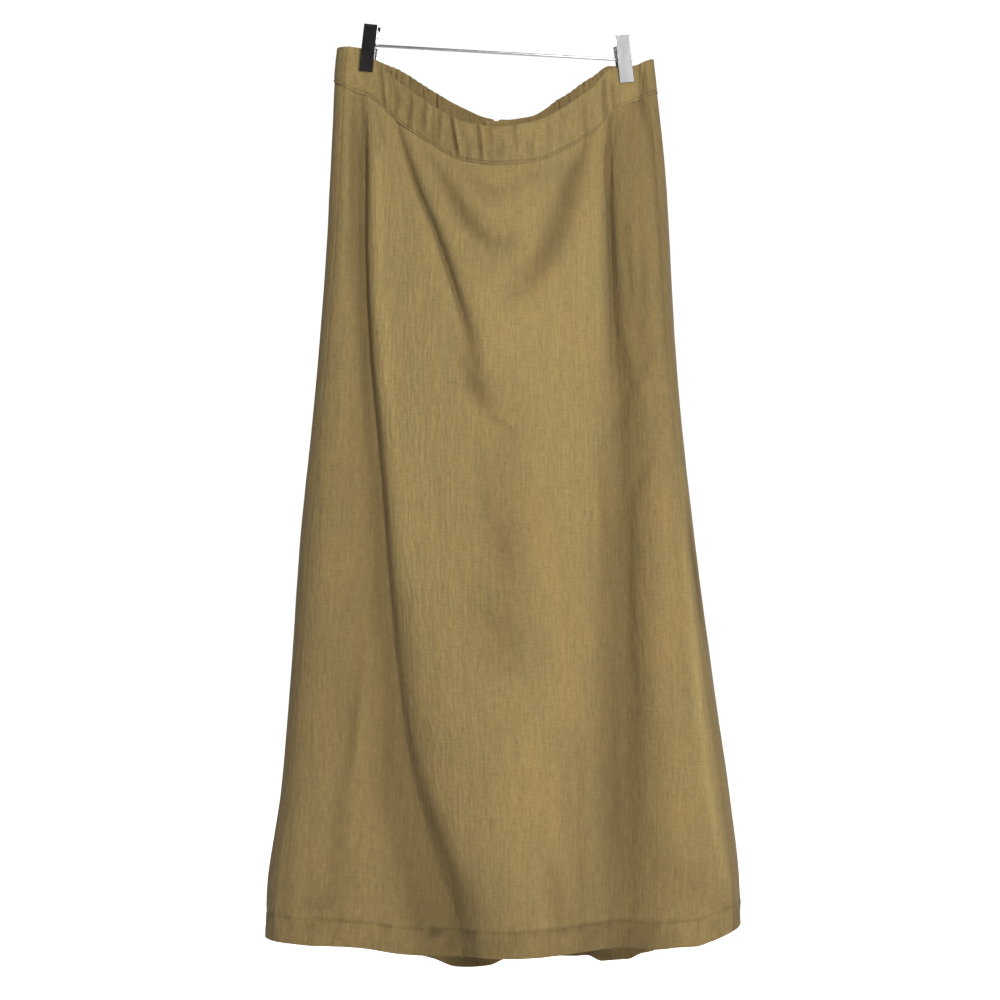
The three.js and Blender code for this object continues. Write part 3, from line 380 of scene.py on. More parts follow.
# The band's upright puckers on the front: x at the top, the slant of the line, depth, half width,
# and the shares of the band's height between which it shows.
PUCKERS = table(
    "x slant deep wide start end",
    (-121, 4, 0.9, 2.6, 0.1, 1),
    (-102, -3, 0.8, 3, 0.3, 1),
    (-87.5, -4, 0.9, 2.8, 0.1, 1),
    (-74, -4, 1, 2.6, 0, 0.8),
    (-66, 1, 0.5, 3, 0.4, 1),
    (-59, -2, 1, 2.6, 0.1, 0.9),
    (-47.5, 7.5, 2, 2.1, 0, 0.95),
    (-41, 3, -0.7, 2.4, 0.1, 0.8),
    (-28, -2, 0.9, 2.3, 0.5, 1),
    (-20, 4, 1.6, 2.1, 0, 1),
    (-7, 1, 0.7, 2.2, 0, 0.8),
    (3, -1, 0.5, 3, 0.4, 1),
    (16.5, 4, 0.9, 2.2, 0, 0.8),
    (36, -1, 0.5, 3.4, 0.3, 1),
    (52, 2, 0.4, 3, 0.1, 0.7),
    (66, -2, 0.5, 3.4, 0, 0.8),
    (88.6, 3, 0.9, 2.6, 0.2, 1),
    (97, -3, 0.6, 3, 0.5, 1),
    (109, 3, 1.4, 2.6, 0.1, 1),
    (117, 3, 1.1, 2.6, 0.4, 1),
    (126, -2, 0.8, 3, 0.5, 1),
    (148, 3, 0.9, 4, 0.2, 1),
)

GATHERED = ((-116, -52), (48, 112))
GATHER_FADE = 8
GATHER_PITCH = 5.6
# How much higher than its solid the back's hem hangs, by the share of the width.
BACK_HEM_LIFT = table(
    "s lift",
    (-1, 0),
    (-0.3, 2),
    (-0.2, -1.5),
    (-0.06, -1.5),
    (0.02, 4),
    (0.2, 5),
    (0.35, 7),
    (0.42, -1),
    (0.53, -1),
    (0.6, 5),
    (0.75, 3),
    (1, 0),
)
PLEAT = {"pitch": 16, "high": 1.8, "start": 14, "long": 95}

# How much painted shade darkens the cloth outside each long hollow, by the height.
FRONT_SHADE = table(
    "z left right",
    (0, 0.08, 0.1),
    (-60, 0.12, 0.2),
    (-130, 0.16, 0.25),
    (-300, 0.17, 0.24),
    (-400, 0.17, 0.17),
    (-480, 0.16, 0.1),
    (-600, 0.15, 0.05),
    (-960, 0.13, 0.05),
)
BACK_SHADE = table("z left right", (0, 0.08, 0.08), (-400, 0.14, 0.14), (-960, 0.1, 0.1))
# Wider soft shadows painted on the front: middle x and z, half width and height, how dark; a negative one is
# a painted light.
SOFT_SHADOWS = (
    (-148, -650, 26, 110, 0.13),
    (-131, -745, 28, 60, 0.05),
    (106, -715, 26, 125, 0.1),
    (0, -219, 60, 34, 0.07),
    (-152, -460, 20, 95, 0.07),
    (-94, -500, 34, 150, -0.04),
)
# Painted shade for each millimetre a long fold or a crease is pressed in, painted light for each millimetre
# it is raised, and the darkest the painted shading may go.
FOLD_SHADE = 0.03
CREASE_SHADE = 0.085
LEAST_TONE = 0.6

SIDE_SEAM_IN = 11
BAND_OUT = 0.6
BAND_IN = -1.8
SLOT_HALF = 2.3
SLOT_DROP = 15
SLOT_CLOSE = 10
SEAM_HALF = 0.12
BAND_STITCH = 3.1
HEM_STITCH = 0.8
ZIP_LENGTH = 182.5
ZIP_TOP = 1.5
TAPE_WIDE = 24
TAPE_FACE = -2.3
TAPE_THICK = 0.6
COIL_DROP = 22
COIL_SHORT = 4


# ---------------------------------------------------------------- curves and waves


def clip01(t):
    return np.clip(t, 0, 1)


def smoothstep(t, low, high):
    p = clip01((t - low) / (high - low))
    return p * p * (3 - 2 * p)


def mix(a, b, p):
    return a + (b - a) * p


def bell(distance, wide):
    """1 at no distance, falling softly to 0 beyond its half width."""
    return np.exp(-((distance / wide) ** 2))


def groove(distance, wide, deep):
    return -deep * bell(distance, wide)


def curve(rows, along, column):
    """A smooth curve through one column of a table, flat where the column turns."""
    at, value = rows[along], rows[column]
    if at[0] > at[-1]:
        at, value = at[::-1], value[::-1]
    rise = np.diff(value) / np.diff(at)
    product = rise[:-1] * rise[1:]
    total = np.where(product > 0, rise[:-1] + rise[1:], 1)
    inner = np.where(product > 0, 2 * product / total, 0)
    slope = np.concatenate([rise[:1], inner, rise[-1:]])

    def read(t):
        x = np.clip(t, at[0], at[-1])
        i = np.clip(np.searchsorted(at, x) - 1, 0, len(at) - 2)
        step = at[i + 1] - at[i]
        p = (x - at[i]) / step
        q = 1 - p
        ends = q * q * (1 + 2 * p) * value[i] + p * p * (1 + 2 * q) * value[i + 1]
        return ends + p * q * step * (q * slope[i] - p * slope[i + 1])

    return read


def curves(rows, along):
    return {name: curve(rows, along, name) for name in rows if name != along}


def noise(seed, u, v, across, along):
    """Soft noise from -1 to 1 whose lumps are about `across` wide and `along` long."""
    size = 64
    lumps = np.random.default_rng(seed).uniform(-1, 1, (size, size))
    a, b = u / across + 1000, v / along + 1000
    i, j = np.floor(a).astype(int), np.floor(b).astype(int)
    p, q = a - i, b - j
    p, q = p * p * (3 - 2 * p), q * q * (3 - 2 * q)
    low = mix(lumps[i % size, j % size], lumps[(i + 1) % size, j % size], p)
    high = mix(lumps[i % size, (j + 1) % size], lumps[(i + 1) % size, (j + 1) % size], p)
    return mix(low, high, q)


# ---------------------------------------------------------------- the cloth's form

outline = curves(OUTLINE, "z")
across = curves(ACROSS, "s")
back_hem_lift = curve(BACK_HEM_LIFT, "s", "lift")
swings = curves(SWINGS, "drop")
FRONT = {
    "valleys": curves(FRONT_VALLEYS, "z"),
    "depths": curves(FRONT_DEPTHS, "drop"),
    "folds": LONG_FOLDS_FRONT,
    "creases": CREASES_FRONT,
    "shade": curves(FRONT_SHADE, "z"),
    "shadows": SOFT_SHADOWS,
}
BACK = {
    "valleys": curves(BACK_VALLEYS, "z"),
    "depths": curves(BACK_DEPTHS, "drop"),
    "folds": LONG_FOLDS_BACK,
    "creases": CREASES_BACK,
    "shade": curves(BACK_SHADE, "z"),
    "shadows": (),
}


def is_front(angle):
    return np.cos(np.radians(angle)) > 0


def share(angle):
    return np.sin(np.radians(angle))


def band_top(angle):
    s = share(angle)
    return np.where(is_front(angle), across["top"](s), across["back_top"](s))


def band_seam(angle):
    s = share(angle)
    return band_top(angle) - (across["top"](s) - across["seam"](s))


def hem_line(angle):
    s = share(angle)
    return np.where(is_front(angle), across["hem"](s), across["back_hem"](s) + back_hem_lift(s))


def pressed(path, x, z):
    """How deep one fold is pressed at (x, z)."""
    far = np.full(np.shape(x), np.inf)
    deep, wide = np.zeros(np.shape(x)), np.ones(np.shape(x))
    lean = path["lean"]
    for i in range(1, len(path["x"])):
        ax, az = path["x"][i - 1], path["z"][i - 1]
        dx, dz = path["x"][i] - ax, path["z"][i] - az
        p = clip01(((x - ax) * dx + (z - az) * dz) / (dx * dx + dz * dz))
        here = np.hypot(x - ax - p * dx, z - az - p * dz)
        side = np.tanh((dx * (z - az) - dz * (x - ax)) / np.hypot(dx, dz))
        nearer = here < far
        far = np.where(nearer, here, far)
        deep = np.where(nearer, mix(path["deep"][i - 1], path["deep"][i], p), deep)
        reach = mix(path["wide"][i - 1], path["wide"][i], p) * lean**-side
        wide = np.where(nearer, reach, wide)
    return deep * bell(far, wide)


def gathered(x):
    """From 0 outside the elastic stretches to 1 well inside one."""
    grown = [
        smoothstep(x, low, low + GATHER_FADE) * (1 - smoothstep(x, high - GATHER_FADE, high))
        for low, high in GATHERED
    ]
    return np.maximum(*grown)


def pleats(below, x):
    """The soft pleats that run down from the elastic."""
    ripple = (1 - np.cos(2 * np.pi * x / PLEAT["pitch"] + 0.8 * noise(5, x, x, 21, 21))) / 2
    fade = clip01(1 - below / PLEAT["long"]) ** 1.5 * smoothstep(below, -1, PLEAT["start"])
    return PLEAT["high"] * ripple * fade * gathered(x) * (1 + 0.4 * noise(6, x, below, 14, 60))


def face_depth(face, drop, x, z):
    level = swings["level"](drop)
    left, right = face["valleys"]["left"](z), face["valleys"]["right"](z)
    start, end = left + level, right - level
    p = clip01((x - start) / (end - start))
    depth = face["depths"]["valley"](drop)
    depth = depth + face["depths"]["bulge"](drop) * np.sin(np.pi * p) ** BULGE_ROUND
    lobe, edge = face["depths"]["lobe"](drop), swings["edge"](drop)
    out_left = left - level - x
    out_right = x - right - level
    span_left = np.maximum(left - level - outline["left"](z) - edge, 1)
    span_right = np.maximum(outline["right"](z) - edge - right - level, 1)
    depth = depth + np.where(out_left > 0, lobe * smoothstep(out_left / span_left, 0, 1), 0)
    depth = depth + np.where(out_right > 0, lobe * smoothstep(out_right / span_right, 0, 1), 0)
    for path in face["folds"] + face["creases"]:
        depth = depth - pressed(path, x, z)
    return depth


def painted_fold_shading(face, x, z):
    """How light the cloth looks down in its folds, where less light reaches it: painted shade in the
    hollows, outside the long hollows and in the soft shadows, and painted light on raised folds.
    """
    tone = np.ones(np.shape(x))
    for paths, weight in ((face["folds"], FOLD_SHADE), (face["creases"], CREASE_SHADE)):
        for path in paths:
            tone -= weight * pressed(path, x, z)
    left, right = face["valleys"]["left"](z), face["valleys"]["right"](z)
    tone -= face["shade"]["left"](z) * smoothstep(left - x, -10, 8)
    tone -= face["shade"]["right"](z) * smoothstep(x - right, -14, 12)
    for x_middle, z_middle, wide, tall, dark in face["shadows"]:
        tone -= dark * np.exp(-(((x - x_middle) / wide) ** 2) - ((z - z_middle) / tall) ** 2)
    return np.clip(tone, LEAST_TONE, 1.2)


def half_depth(angle, x, z):
    drop = band_top(angle) - z
    back = face_depth(BACK, drop, x, z) - pleats(band_seam(angle) - z, x)
    depth = np.where(is_front(angle), face_depth(FRONT, drop, x, z), back)
    over = depth - LEAST_DEPTH
    return LEAST_DEPTH + (over + np.hypot(over, LEAST_SOFT)) / 2


def cloth_point(angle, z):
    """The cloth's outer face, as an array of points."""
    angle, z = np.broadcast_arrays(np.asarray(angle, float), np.asarray(z, float))
    left, right = outline["left"](z), outline["right"](z)
    middle, half = (left + right) / 2, (right - left) / 2
    x = middle + half * share(angle)
    drop = band_top(angle) - z
    edge = swings["edge"](drop)
    into = clip01((np.abs(x - middle) - half + edge) / edge)
    depth = half_depth(angle, x, z) * np.sqrt(1 - into * into)
    swing = swings["bow"](drop) * ((x / CLIP_X) ** 2 - 1)
    return np.stack([x, swing + np.where(is_front(angle), -depth, depth), z], -1)


def cloth_normal(angle, z):
    """The face's outward direction, kept level."""
    turn = 0.4
    along = cloth_point(angle + turn, z) - cloth_point(angle - turn, z)
    out = np.stack([along[..., 1], -along[..., 0], np.zeros(np.shape(z))], -1)
    return out / np.linalg.norm(out, axis=-1, keepdims=True)


def step_round(angle, z, millimetres):
    """The angle that lies a few millimetres further round."""
    turn = 0.5
    gap = np.linalg.norm(cloth_point(angle + turn, z) - cloth_point(angle - turn, z), axis=-1)
    return angle + millimetres * 2 * turn / gap


def half_width(z):
    return (outline["right"](z) - outline["left"](z)) / 2


def right_seam(z):
    return np.degrees(np.arcsin(1 - SIDE_SEAM_IN / half_width(z)))


def left_seam(z):
    return -right_seam(z)


def centre_back(z):
    return np.full(np.shape(z), float(CENTRE_BACK))


def round_from(start, angle, z):
    """How many millimetres round the cloth an angle lies from another."""
    return (angle - start) * np.pi / 180 * half_width(z)


def from_side_edges(u):
    return np.minimum(np.abs(u - u[:1]), np.abs(u[-1:] - u))


def back_parting(z):
    """Half the parting at the centre back, wide at the band's top and shut below."""
    drop = band_top(centre_back(z)) - z
    return mix(SLOT_HALF, SEAM_HALF, smoothstep(drop, SLOT_DROP, SLOT_DROP + SLOT_CLOSE))


def beside(seam, gap):
    """An edge that lies `gap` millimetres to one side of a seam."""
    return lambda z: step_round(seam(z), z, gap)


def around(seam):
    return lambda z: seam(z) + 2 * CENTRE_BACK


def centre(sign):
    return lambda z: step_round(centre_back(z), z, sign * back_parting(z))


SEAM_LINE = 0.08
STRIPS = ("side", "quarter", "quarter_top", "middle", "middle_top")
PANEL_STRIPS = {
    "front": [f"front_panel_{side}_{strip}" for side in ("left", "right") for strip in STRIPS],
    "back_right": [f"back_panel_right_{strip}" for strip in STRIPS],
    "back_left": [f"back_panel_left_{strip}" for strip in STRIPS],
}
EDGES = {
    "front": (beside(left_seam, SEAM_LINE), beside(right_seam, -SEAM_LINE)),
    "back_right": (beside(right_seam, SEAM_LINE), centre(-1)),
    "back_left": (centre(1), beside(around(left_seam), -SEAM_LINE)),
}


def settle(edges, portions, heights):
    """Angles and heights of a grid whose columns run between two edges. Each height is a function
    of the angle, and each edge an angle by height, so both are settled together. The portions are
    one for each column, or a column of them for each height."""
    levels = np.linspace(-980, 20, 1001)
    start, end = (edge(levels) for edge in edges)
    portions = np.asarray(portions).reshape(len(portions), -1)
    z = np.full((len(portions), len(heights)), -100.0)
    for _ in range(5):
        angle = mix(np.interp(z, levels, start), np.interp(z, levels, end), portions)
        z = np.stack([height(angle[:, j]) for j, height in enumerate(heights)], 1)
    return angle, z


# ---------------------------------------------------------------- meshes


def new_object(name, mesh, material, body=SKIRT_BODY):
    piece = bpy.data.objects.new(name, mesh)
    bpy.context.scene.collection.objects.link(piece)
    mesh.materials.clear()
    mesh.materials.append(material)
    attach(piece, body)
    return piece


def quad_mesh(name, points, faces):
    """A smooth mesh of four-sided faces."""
    mesh = bpy.data.meshes.new(name)
    mesh.vertices.add(len(points))
    mesh.vertices.foreach_set("co", points.astype(np.float32).ravel())
    mesh.loops.add(faces.size)
    mesh.loops.foreach_set("vertex_index", faces.astype(np.int32).ravel())
    mesh.polygons.add(len(faces))
    mesh.polygons.foreach_set("loop_start", np.arange(0, faces.size, 4, dtype=np.int32))
    mesh.update(calc_edges=True)
    mesh.shade_smooth()
    return mesh


def shell(name, outer, inner, flat, tone):
    """A closed thin wall between two grids of points. `flat` holds each point's place on the cloth,
    as laid out, and `tone` how light it looks: painted shade and light, kept as the tone attribute."""
    columns, rows = outer.shape[:2]
    place = np.arange(2 * columns * rows).reshape(2, columns, rows)
    out, ins = place

    def quads(a, b, c, d):
        return np.stack([a, b, c, d], -1).reshape(-1, 4)

    faces = np.concatenate([
        quads(out[:-1, :-1], out[:-1, 1:], out[1:, 1:], out[1:, :-1]),
        quads(ins[:-1, :-1], ins[1:, :-1], ins[1:, 1:], ins[:-1, 1:]),
        quads(out[:-1, 0], out[1:, 0], ins[1:, 0], ins[:-1, 0]),
        quads(out[:-1, -1], ins[:-1, -1], ins[1:, -1], out[1:, -1]),
        quads(out[0, :-1], ins[0, :-1], ins[0, 1:], out[0, 1:]),
        quads(out[-1, :-1], out[-1, 1:], ins[-1, 1:], ins[-1, :-1]),
    ])
    points = np.concatenate([outer.reshape(-1, 3), inner.reshape(-1, 3)]) * MM
    mesh = quad_mesh(name, points, faces)
    layer = mesh.uv_layers.new(name="Cloth")
    flat_points = np.concatenate([flat.reshape(-1, 2)] * 2) * MM
    layer.data.foreach_set("uv", flat_points[faces.ravel()].ravel())
    shade = mesh.attributes.new("tone", "FLOAT", "POINT")
    shade.data.foreach_set("value", np.concatenate([tone.ravel()] * 2))
    return mesh


def laid_flat(points, angle, from_angle):
    """Each point's place on the laid-out cloth: the way round from one angle, and the height."""
    steps = np.linalg.norm(np.diff(points, axis=0), axis=-1)
    along = np.concatenate([np.zeros((1, points.shape[1])), np.cumsum(steps, 0)])
    start = [np.interp(from_angle, angle[:, j], along[:, j]) for j in range(angle.shape[1])]
    return np.stack([along - start, points[..., 2]], -1)


# ---------------------------------------------------------------- panels

PANEL_ROWS = 225
FRONT_COLUMNS = 178
BACK_COLUMNS = 128
SPOT_STEPS = (-0.005, -0.0025, 0, 0.0025, 0.005)
EDGE_PORTIONS = [0.0017, 0.0036, 0.9964, 0.9983]
LEAST_STEP = 0.0012
DRAW = 2.2
DRAW_WIDE = 11
DRAW_FADE = 25
HEM_ROWS = (0.02, 0.04, 0.07, 0.12, 0.2, 0.3, 0.4, 0.5, 0.6, 0.7, 0.8, 0.88, 0.94, 0.975, 0.993, 1)
DART_ANGLES = (-42.6, 42.8)
DART_LONG = 82
PLACKET_ANGLE = 3


def crowded(count, spots):
    """Evenly spaced portions with a few more packed closely round each spot."""
    packed = [spot + step for spot in spots for step in SPOT_STEPS] + EDGE_PORTIONS
    away = [p for p in np.linspace(0, 1, count) if all(abs(p - n) > LEAST_STEP for n in packed)]
    return np.array(sorted(away + packed))


def drawn_to(paths, edges, portions, heights):
    """The same columns, drawn closer together where they pass the sharp lines."""
    angle, z = settle(edges, portions, heights)
    x = cloth_point(angle, z)[..., 0]
    pull = np.ones(x.shape)
    for path in paths:
        order = np.argsort(path["z"])
        at = path["z"][order]
        line = np.interp(z, at, path["x"][order])
        inside = smoothstep(z, at[0] - DRAW_FADE, at[0]) * (1 - smoothstep(z, at[-1], at[-1] + DRAW_FADE))
        pull += DRAW * inside * bell(x - line, DRAW_WIDE)
    steps = (pull[1:] + pull[:-1]) / 2 * np.diff(portions)[:, None]
    run = np.concatenate([np.zeros((1, x.shape[1])), np.cumsum(steps, 0)])
    run /= run[-1]
    moved = [np.interp(portions, run[:, j], portions) for j in range(x.shape[1])]
    return np.stack(moved, 1)


def crinkle(seed, u, z):
    """The linen's own small unevenness, in millimetres."""
    long_waves = 0.8 * noise(seed, u, z, 30, 260) + 0.42 * noise(seed + 1, u, z, 13, 120)
    wrinkles = 0.2 * noise(seed + 2, u + 0.06 * z, z, 7, 46) + 0.1 * noise(seed + 3, u, z, 4.6, 17)
    return long_waves + wrinkles


def panel(name, edges, portions, seed, settings):
    """One panel with its turned-up hem: a thin wall on the form, creased and puckered."""
    front = name == "skirt_front"
    hem_deep = settings.hem_depth / MM
    thick = settings.cloth_thickness / MM
    heights = [
        (lambda angle, p=p: mix(band_seam(angle) + 1, hem_line(angle) + hem_deep, p))
        for p in np.linspace(0, 1, PANEL_ROWS)
    ]
    heights += [(lambda angle, p=p: hem_line(angle) + hem_deep * (1 - p)) for p in HEM_ROWS]
    if front:
        portions = drawn_to(SHARP_LINES, edges, portions, heights)
    angle, z = settle(edges, portions, heights)
    points, out = cloth_point(angle, z), cloth_normal(angle, z)
    flat = laid_flat(points, angle, 0 if front else CENTRE_BACK)
    u = flat[..., 0]
    below = band_seam(angle) - z
    above = z - hem_line(angle)
    from_edge = from_side_edges(u)
    calm = smoothstep(from_edge, 0, 16)

    relief = crinkle(seed, u, z) * (0.35 + 0.65 * smoothstep(below, 0, 60)) * calm
    low = 1 - smoothstep(above, hem_deep, hem_deep + 40)
    relief += low * 0.5 * noise(seed + 4, u, z, 15, 26) * calm
    in_hem = 1 - smoothstep(above, hem_deep - 1, hem_deep + 3)
    near_hem = bell(above - hem_deep, 14)
    relief += in_hem * (0.6 * noise(seed + 5, u + 0.25 * z, z, 9, 15)) * calm
    relief += near_hem * 0.45 * noise(seed + 7, u - 0.3 * z, z, 5.5, 9) * calm
    relief += 0.3 * noise(seed + 6, u, z, 9, 30) * (1 - smoothstep(below, 0, 34)) * calm
    relief += groove(above - hem_deep + HEM_STITCH, 1.5, 0.55)
    relief += 0.3 * noise(77, z, z, 13, 13) * (1 - calm)
    relief += groove(from_edge, 1.3, 0.3)
    if front:
        for dart in DART_ANGLES:
            line = round_from(dart, angle, z)
            shown = 1 - smoothstep(below, DART_LONG * 0.75, DART_LONG)
            relief += shown * (groove(line, 0.9, 0.9) + 0.35 * bell(line - 3, 2.4))
        line = round_from(PLACKET_ANGLE, angle, z)
        relief += groove(line, 1.2, 0.25) * (1 - smoothstep(below, 20, 45))

    round_over = clip01(1 - above / 0.9) ** 2
    wall = mix(thick, 2.1 * thick, in_hem)
    outer = points + out * (relief - 0.45 * wall * round_over)[..., None]
    inner = points + out * (relief - wall * (1 - 0.4 * round_over))[..., None]
    # Painted shade and light from the folds, then painted shade under the band and, less, towards the hem.
    tones = [painted_fold_shading(face, points[..., 0], z) for face in (FRONT, BACK)]
    tone = np.where(is_front(angle), *tones) - 0.09 * (1 - smoothstep(below, 0, 110))
    tone = tone - 0.05 * (1 - smoothstep(above, 30, 110))
    # Painted shade on the doubled hem, where less light comes through, and in the grooves along the side
    # seams.
    tone = tone - 0.06 * in_hem - 0.07 * bell(from_edge, 0.9)
    x = points[..., 0]
    # Painted shade across the middle of the front's hem.
    tone -= 0.08 * in_hem * is_front(angle) * smoothstep(x, -60, 0) * (1 - smoothstep(x, 120, 180))
    tone += (in_hem + near_hem) * 0.07 * noise(seed + 8, u - 0.3 * z, z, 7, 10)
    # Painted shade on the back panels where they show past the front's side seams, low down.
    if not front:
        tone -= 0.13 * is_front(angle) * smoothstep(-z, 430, 600)
    # Painted shade in the hem stitch's groove.
    tone = tone - 0.1 * bell(above - hem_deep + HEM_STITCH, 1.1)
    return shell(name, outer, inner, flat, tone)


# ---------------------------------------------------------------- waistband

BAND_STEPS = (0, 0.2, 0.5, 0.9, 1.5, 2.4, 3.6)
BAND_ENDS = (6.4, 5.4, 4.6, 4, 3.5, 3.1, 2.7, 2.3, 1.8, 1.2, 0.7, 0.35, 0.12, 0)
BAND_MIDDLE_ROWS = 16
BAND_FRONT_COLUMNS = 300
BAND_BACK_COLUMNS = 190


def gather_puff(x, q):
    """How far the elastic puffs the band's faces out, with sharp lines between the puffs."""
    wander = 1.5 * noise(31, x, x, 15, 15) + 0.5 * noise(32, x, 40 * q, 9, 22) - 0.9 * q
    wave = np.abs(np.cos(np.pi * x / GATHER_PITCH + wander))
    size = 1.1 + 0.6 * noise(33, x, 40 * q, 11, 30)
    return (size * wave**0.6 - 0.25) * gathered(x)


def pucker_relief(x, q):
    """The front band's upright puckers, q being the share of its height from the top."""
    relief = np.zeros(np.shape(x))
    rows = zip(*(PUCKERS[name] for name in ("x", "slant", "deep", "wide", "start", "end")))
    for at, slant, deep, wide, start, end in rows:
        shown = smoothstep(q, start - 0.15, start + 0.15) * (1 - smoothstep(q, end - 0.2, end + 0.1))
        line = x - at - slant * q
        beside_it = bell(line - 1.9 * wide, wide)
        relief += shown * 1.2 * (groove(line, wide, deep) + 0.4 * deep * beside_it)
    return relief


def band(name, edges, portions, seed, front):
    """One length of waistband: a folded strip with a rolled top edge and an edge stitch."""
    heights = [(lambda angle, t=t: band_top(angle) - t) for t in BAND_STEPS]
    for p in np.linspace(0, 1, BAND_MIDDLE_ROWS + 2)[1:-1]:
        heights.append(
            lambda angle, p=p: mix(band_top(angle) - BAND_STEPS[-1], band_seam(angle) + BAND_ENDS[0], p)
        )
    heights += [(lambda angle, t=t: band_seam(angle) + t) for t in BAND_ENDS]
    angle, z = settle(edges, portions, heights)
    points, out = cloth_point(angle, z), cloth_normal(angle, z)
    flat = laid_flat(points, angle, 0 if front else CENTRE_BACK)
    x, u = points[..., 0], flat[..., 0]
    top, seam = band_top(angle), band_seam(angle)
    q = (top - z) / (top - seam)
    from_top, from_seam = top - z, z - seam
    from_edge = from_side_edges(u)

    face = 0.22 * noise(seed, u, z, 22, 60) + 0.2 * noise(seed + 1, u, z, 6, 20)
    face += 0.14 * noise(seed + 2, u, z, 3.6, 8)
    face += 0.3 * noise(seed + 4, u - 0.3 * z, z, 4.6, 9) * (1 - smoothstep(from_seam, 3, 11))
    crumple = noise(seed + 5, u + 0.35 * z, z, 5.2, 17)
    face += 0.3 * crumple
    puckers, puff = (pucker_relief(x, q), 0) if front else (0, gather_puff(x, q))
    face += puckers
    face += groove(from_seam - BAND_STITCH, 0.75, 0.5)
    face += 0.35 * bell(from_seam - 1.4, 1.1)
    roll = 1.1 * (1 - np.sqrt(1 - clip01(1 - from_top / 1.1) ** 2))
    tuck = 0.9 * clip01(1 - from_seam / 0.6) ** 2
    seam_dip = 0.35 * bell(from_edge, 1.2)
    outer = points + out * (BAND_OUT + face + puff - roll - tuck - seam_dip)[..., None]
    inner = points + out * (BAND_IN + 0.8 * face - puff + roll + 0.5 * seam_dip)[..., None]
    waver = 0.5 * noise(seed + 3, u, u, 16, 16) * (1 - q)
    if not front:
        waver = waver + 0.7 * gathered(x) * (np.cos(np.pi * x / GATHER_PITCH) ** 2 - 0.5) * (1 - q)
        from_slot = np.abs(round_from(CENTRE_BACK, angle, z)) - SLOT_HALF
        lifted = np.where(angle > CENTRE_BACK, 0.9, 0) * bell(from_slot, 9)
        rounded = 0.8 * bell(from_slot, 1.1)
        waver = waver + (lifted - rounded) * (1 - q)
    outer[..., 2] += waver
    inner[..., 2] += waver
    # Painted shade in the edge stitch's groove, where the band tucks into its seam, and along the side
    # seams.
    tone = 0.97 - 0.22 * bell(from_seam - BAND_STITCH, 0.8) - 0.32 * clip01(1 - from_seam / 0.6)
    tone = tone - 0.1 * bell(from_edge, 0.9)
    if front:
        # Painted shade in the puckers' grooves, painted light on the cloth raised beside them and painted
        # shade and light on the crumples; then a painted shadow over the band from the left towards the
        # middle.
        tone = tone + 0.18 * np.clip(puckers, -2.4, 0.5) + 0.06 * crumple
        tone = tone - 0.12 * smoothstep(x, -125, -95) * (1 - smoothstep(x, -12, 34))
    else:
        # Painted shade over the back bands, darkest in the lines between the gathers' puffs.
        tone = tone - 0.13 - 0.6 * gathered(x) * bell(puff + 0.25, 0.4)
    return shell(name, outer, inner, flat, tone)


# ---------------------------------------------------------------- stitches


COIL_RINGS = ((-1, 0.15, 0), (-0.85, 0.8, 0), (-0.3, 1, 0), (0.3, 1, 0), (0.85, 0.8, 0), (1, 0.15, 0))
STITCH_RINGS = ((-1, 0.1, 0), (-0.6, 0.85, 0.06), (0, 1, 0.1), (0.6, 0.85, 0.06), (1, 0.1, 0))
THREAD = 0.22
STITCH = 2.3
STITCH_GAP = 0.75


def loop_mesh(name, loops, rings, thick, sides, squash=1.0):
    """Short rounded bars. Each is (half its length as a vector, outward direction, middle), and
    each ring is (place along the bar, share of its thickness, lift)."""
    half, up, middle = (np.array(column) for column in zip(*loops))
    side = np.cross(half, up)
    side /= np.linalg.norm(side, axis=1, keepdims=True)
    points = []
    for along, size, lift in rings:
        for k in range(sides):
            turn = 2 * math.pi * k / sides
            spoke = side * math.cos(turn) + up * math.sin(turn) * squash
            points.append(middle + half * along + spoke * thick * size + up * lift)
    points = np.stack(points, 1) * MM
    faces = []
    for ring in range(len(rings) - 1):
        for k in range(sides):
            a, b = ring * sides + k, ring * sides + (k + 1) % sides
            faces.append((a, a + sides, b + sides, b))
    bases = np.arange(len(loops)) * points.shape[1]
    return quad_mesh(name, points.reshape(-1, 3), (bases[:, None, None] + np.array(faces)).reshape(-1, 4))


def stitch_mesh(name, lines):
    """Short round threads laid end to end. Each line is (points, outward directions)."""
    stitches = []
    for path, out in lines:
        steps = np.linalg.norm(np.diff(path, axis=0), axis=1)
        along = np.concatenate([[0], np.cumsum(steps)])
        starts = np.arange(STITCH_GAP, along[-1] - STITCH, STITCH + STITCH_GAP)

        def at(places, of):
            return np.stack([np.interp(places, along, of[:, k]) for k in range(3)], 1)

        first, last = at(starts, path), at(starts + STITCH, path)
        stitches += zip((last - first) / 2, at(starts + STITCH / 2, out), (first + last) / 2)
    return loop_mesh(name, stitches, STITCH_RINGS, THREAD, 5)


def line_on(angles, heights, offset):
    """A line on the cloth, `offset` millimetres out from its face."""
    points, out = cloth_point(angles, heights), cloth_normal(angles, heights)
    return points + out * offset, out


# ---------------------------------------------------------------- materials


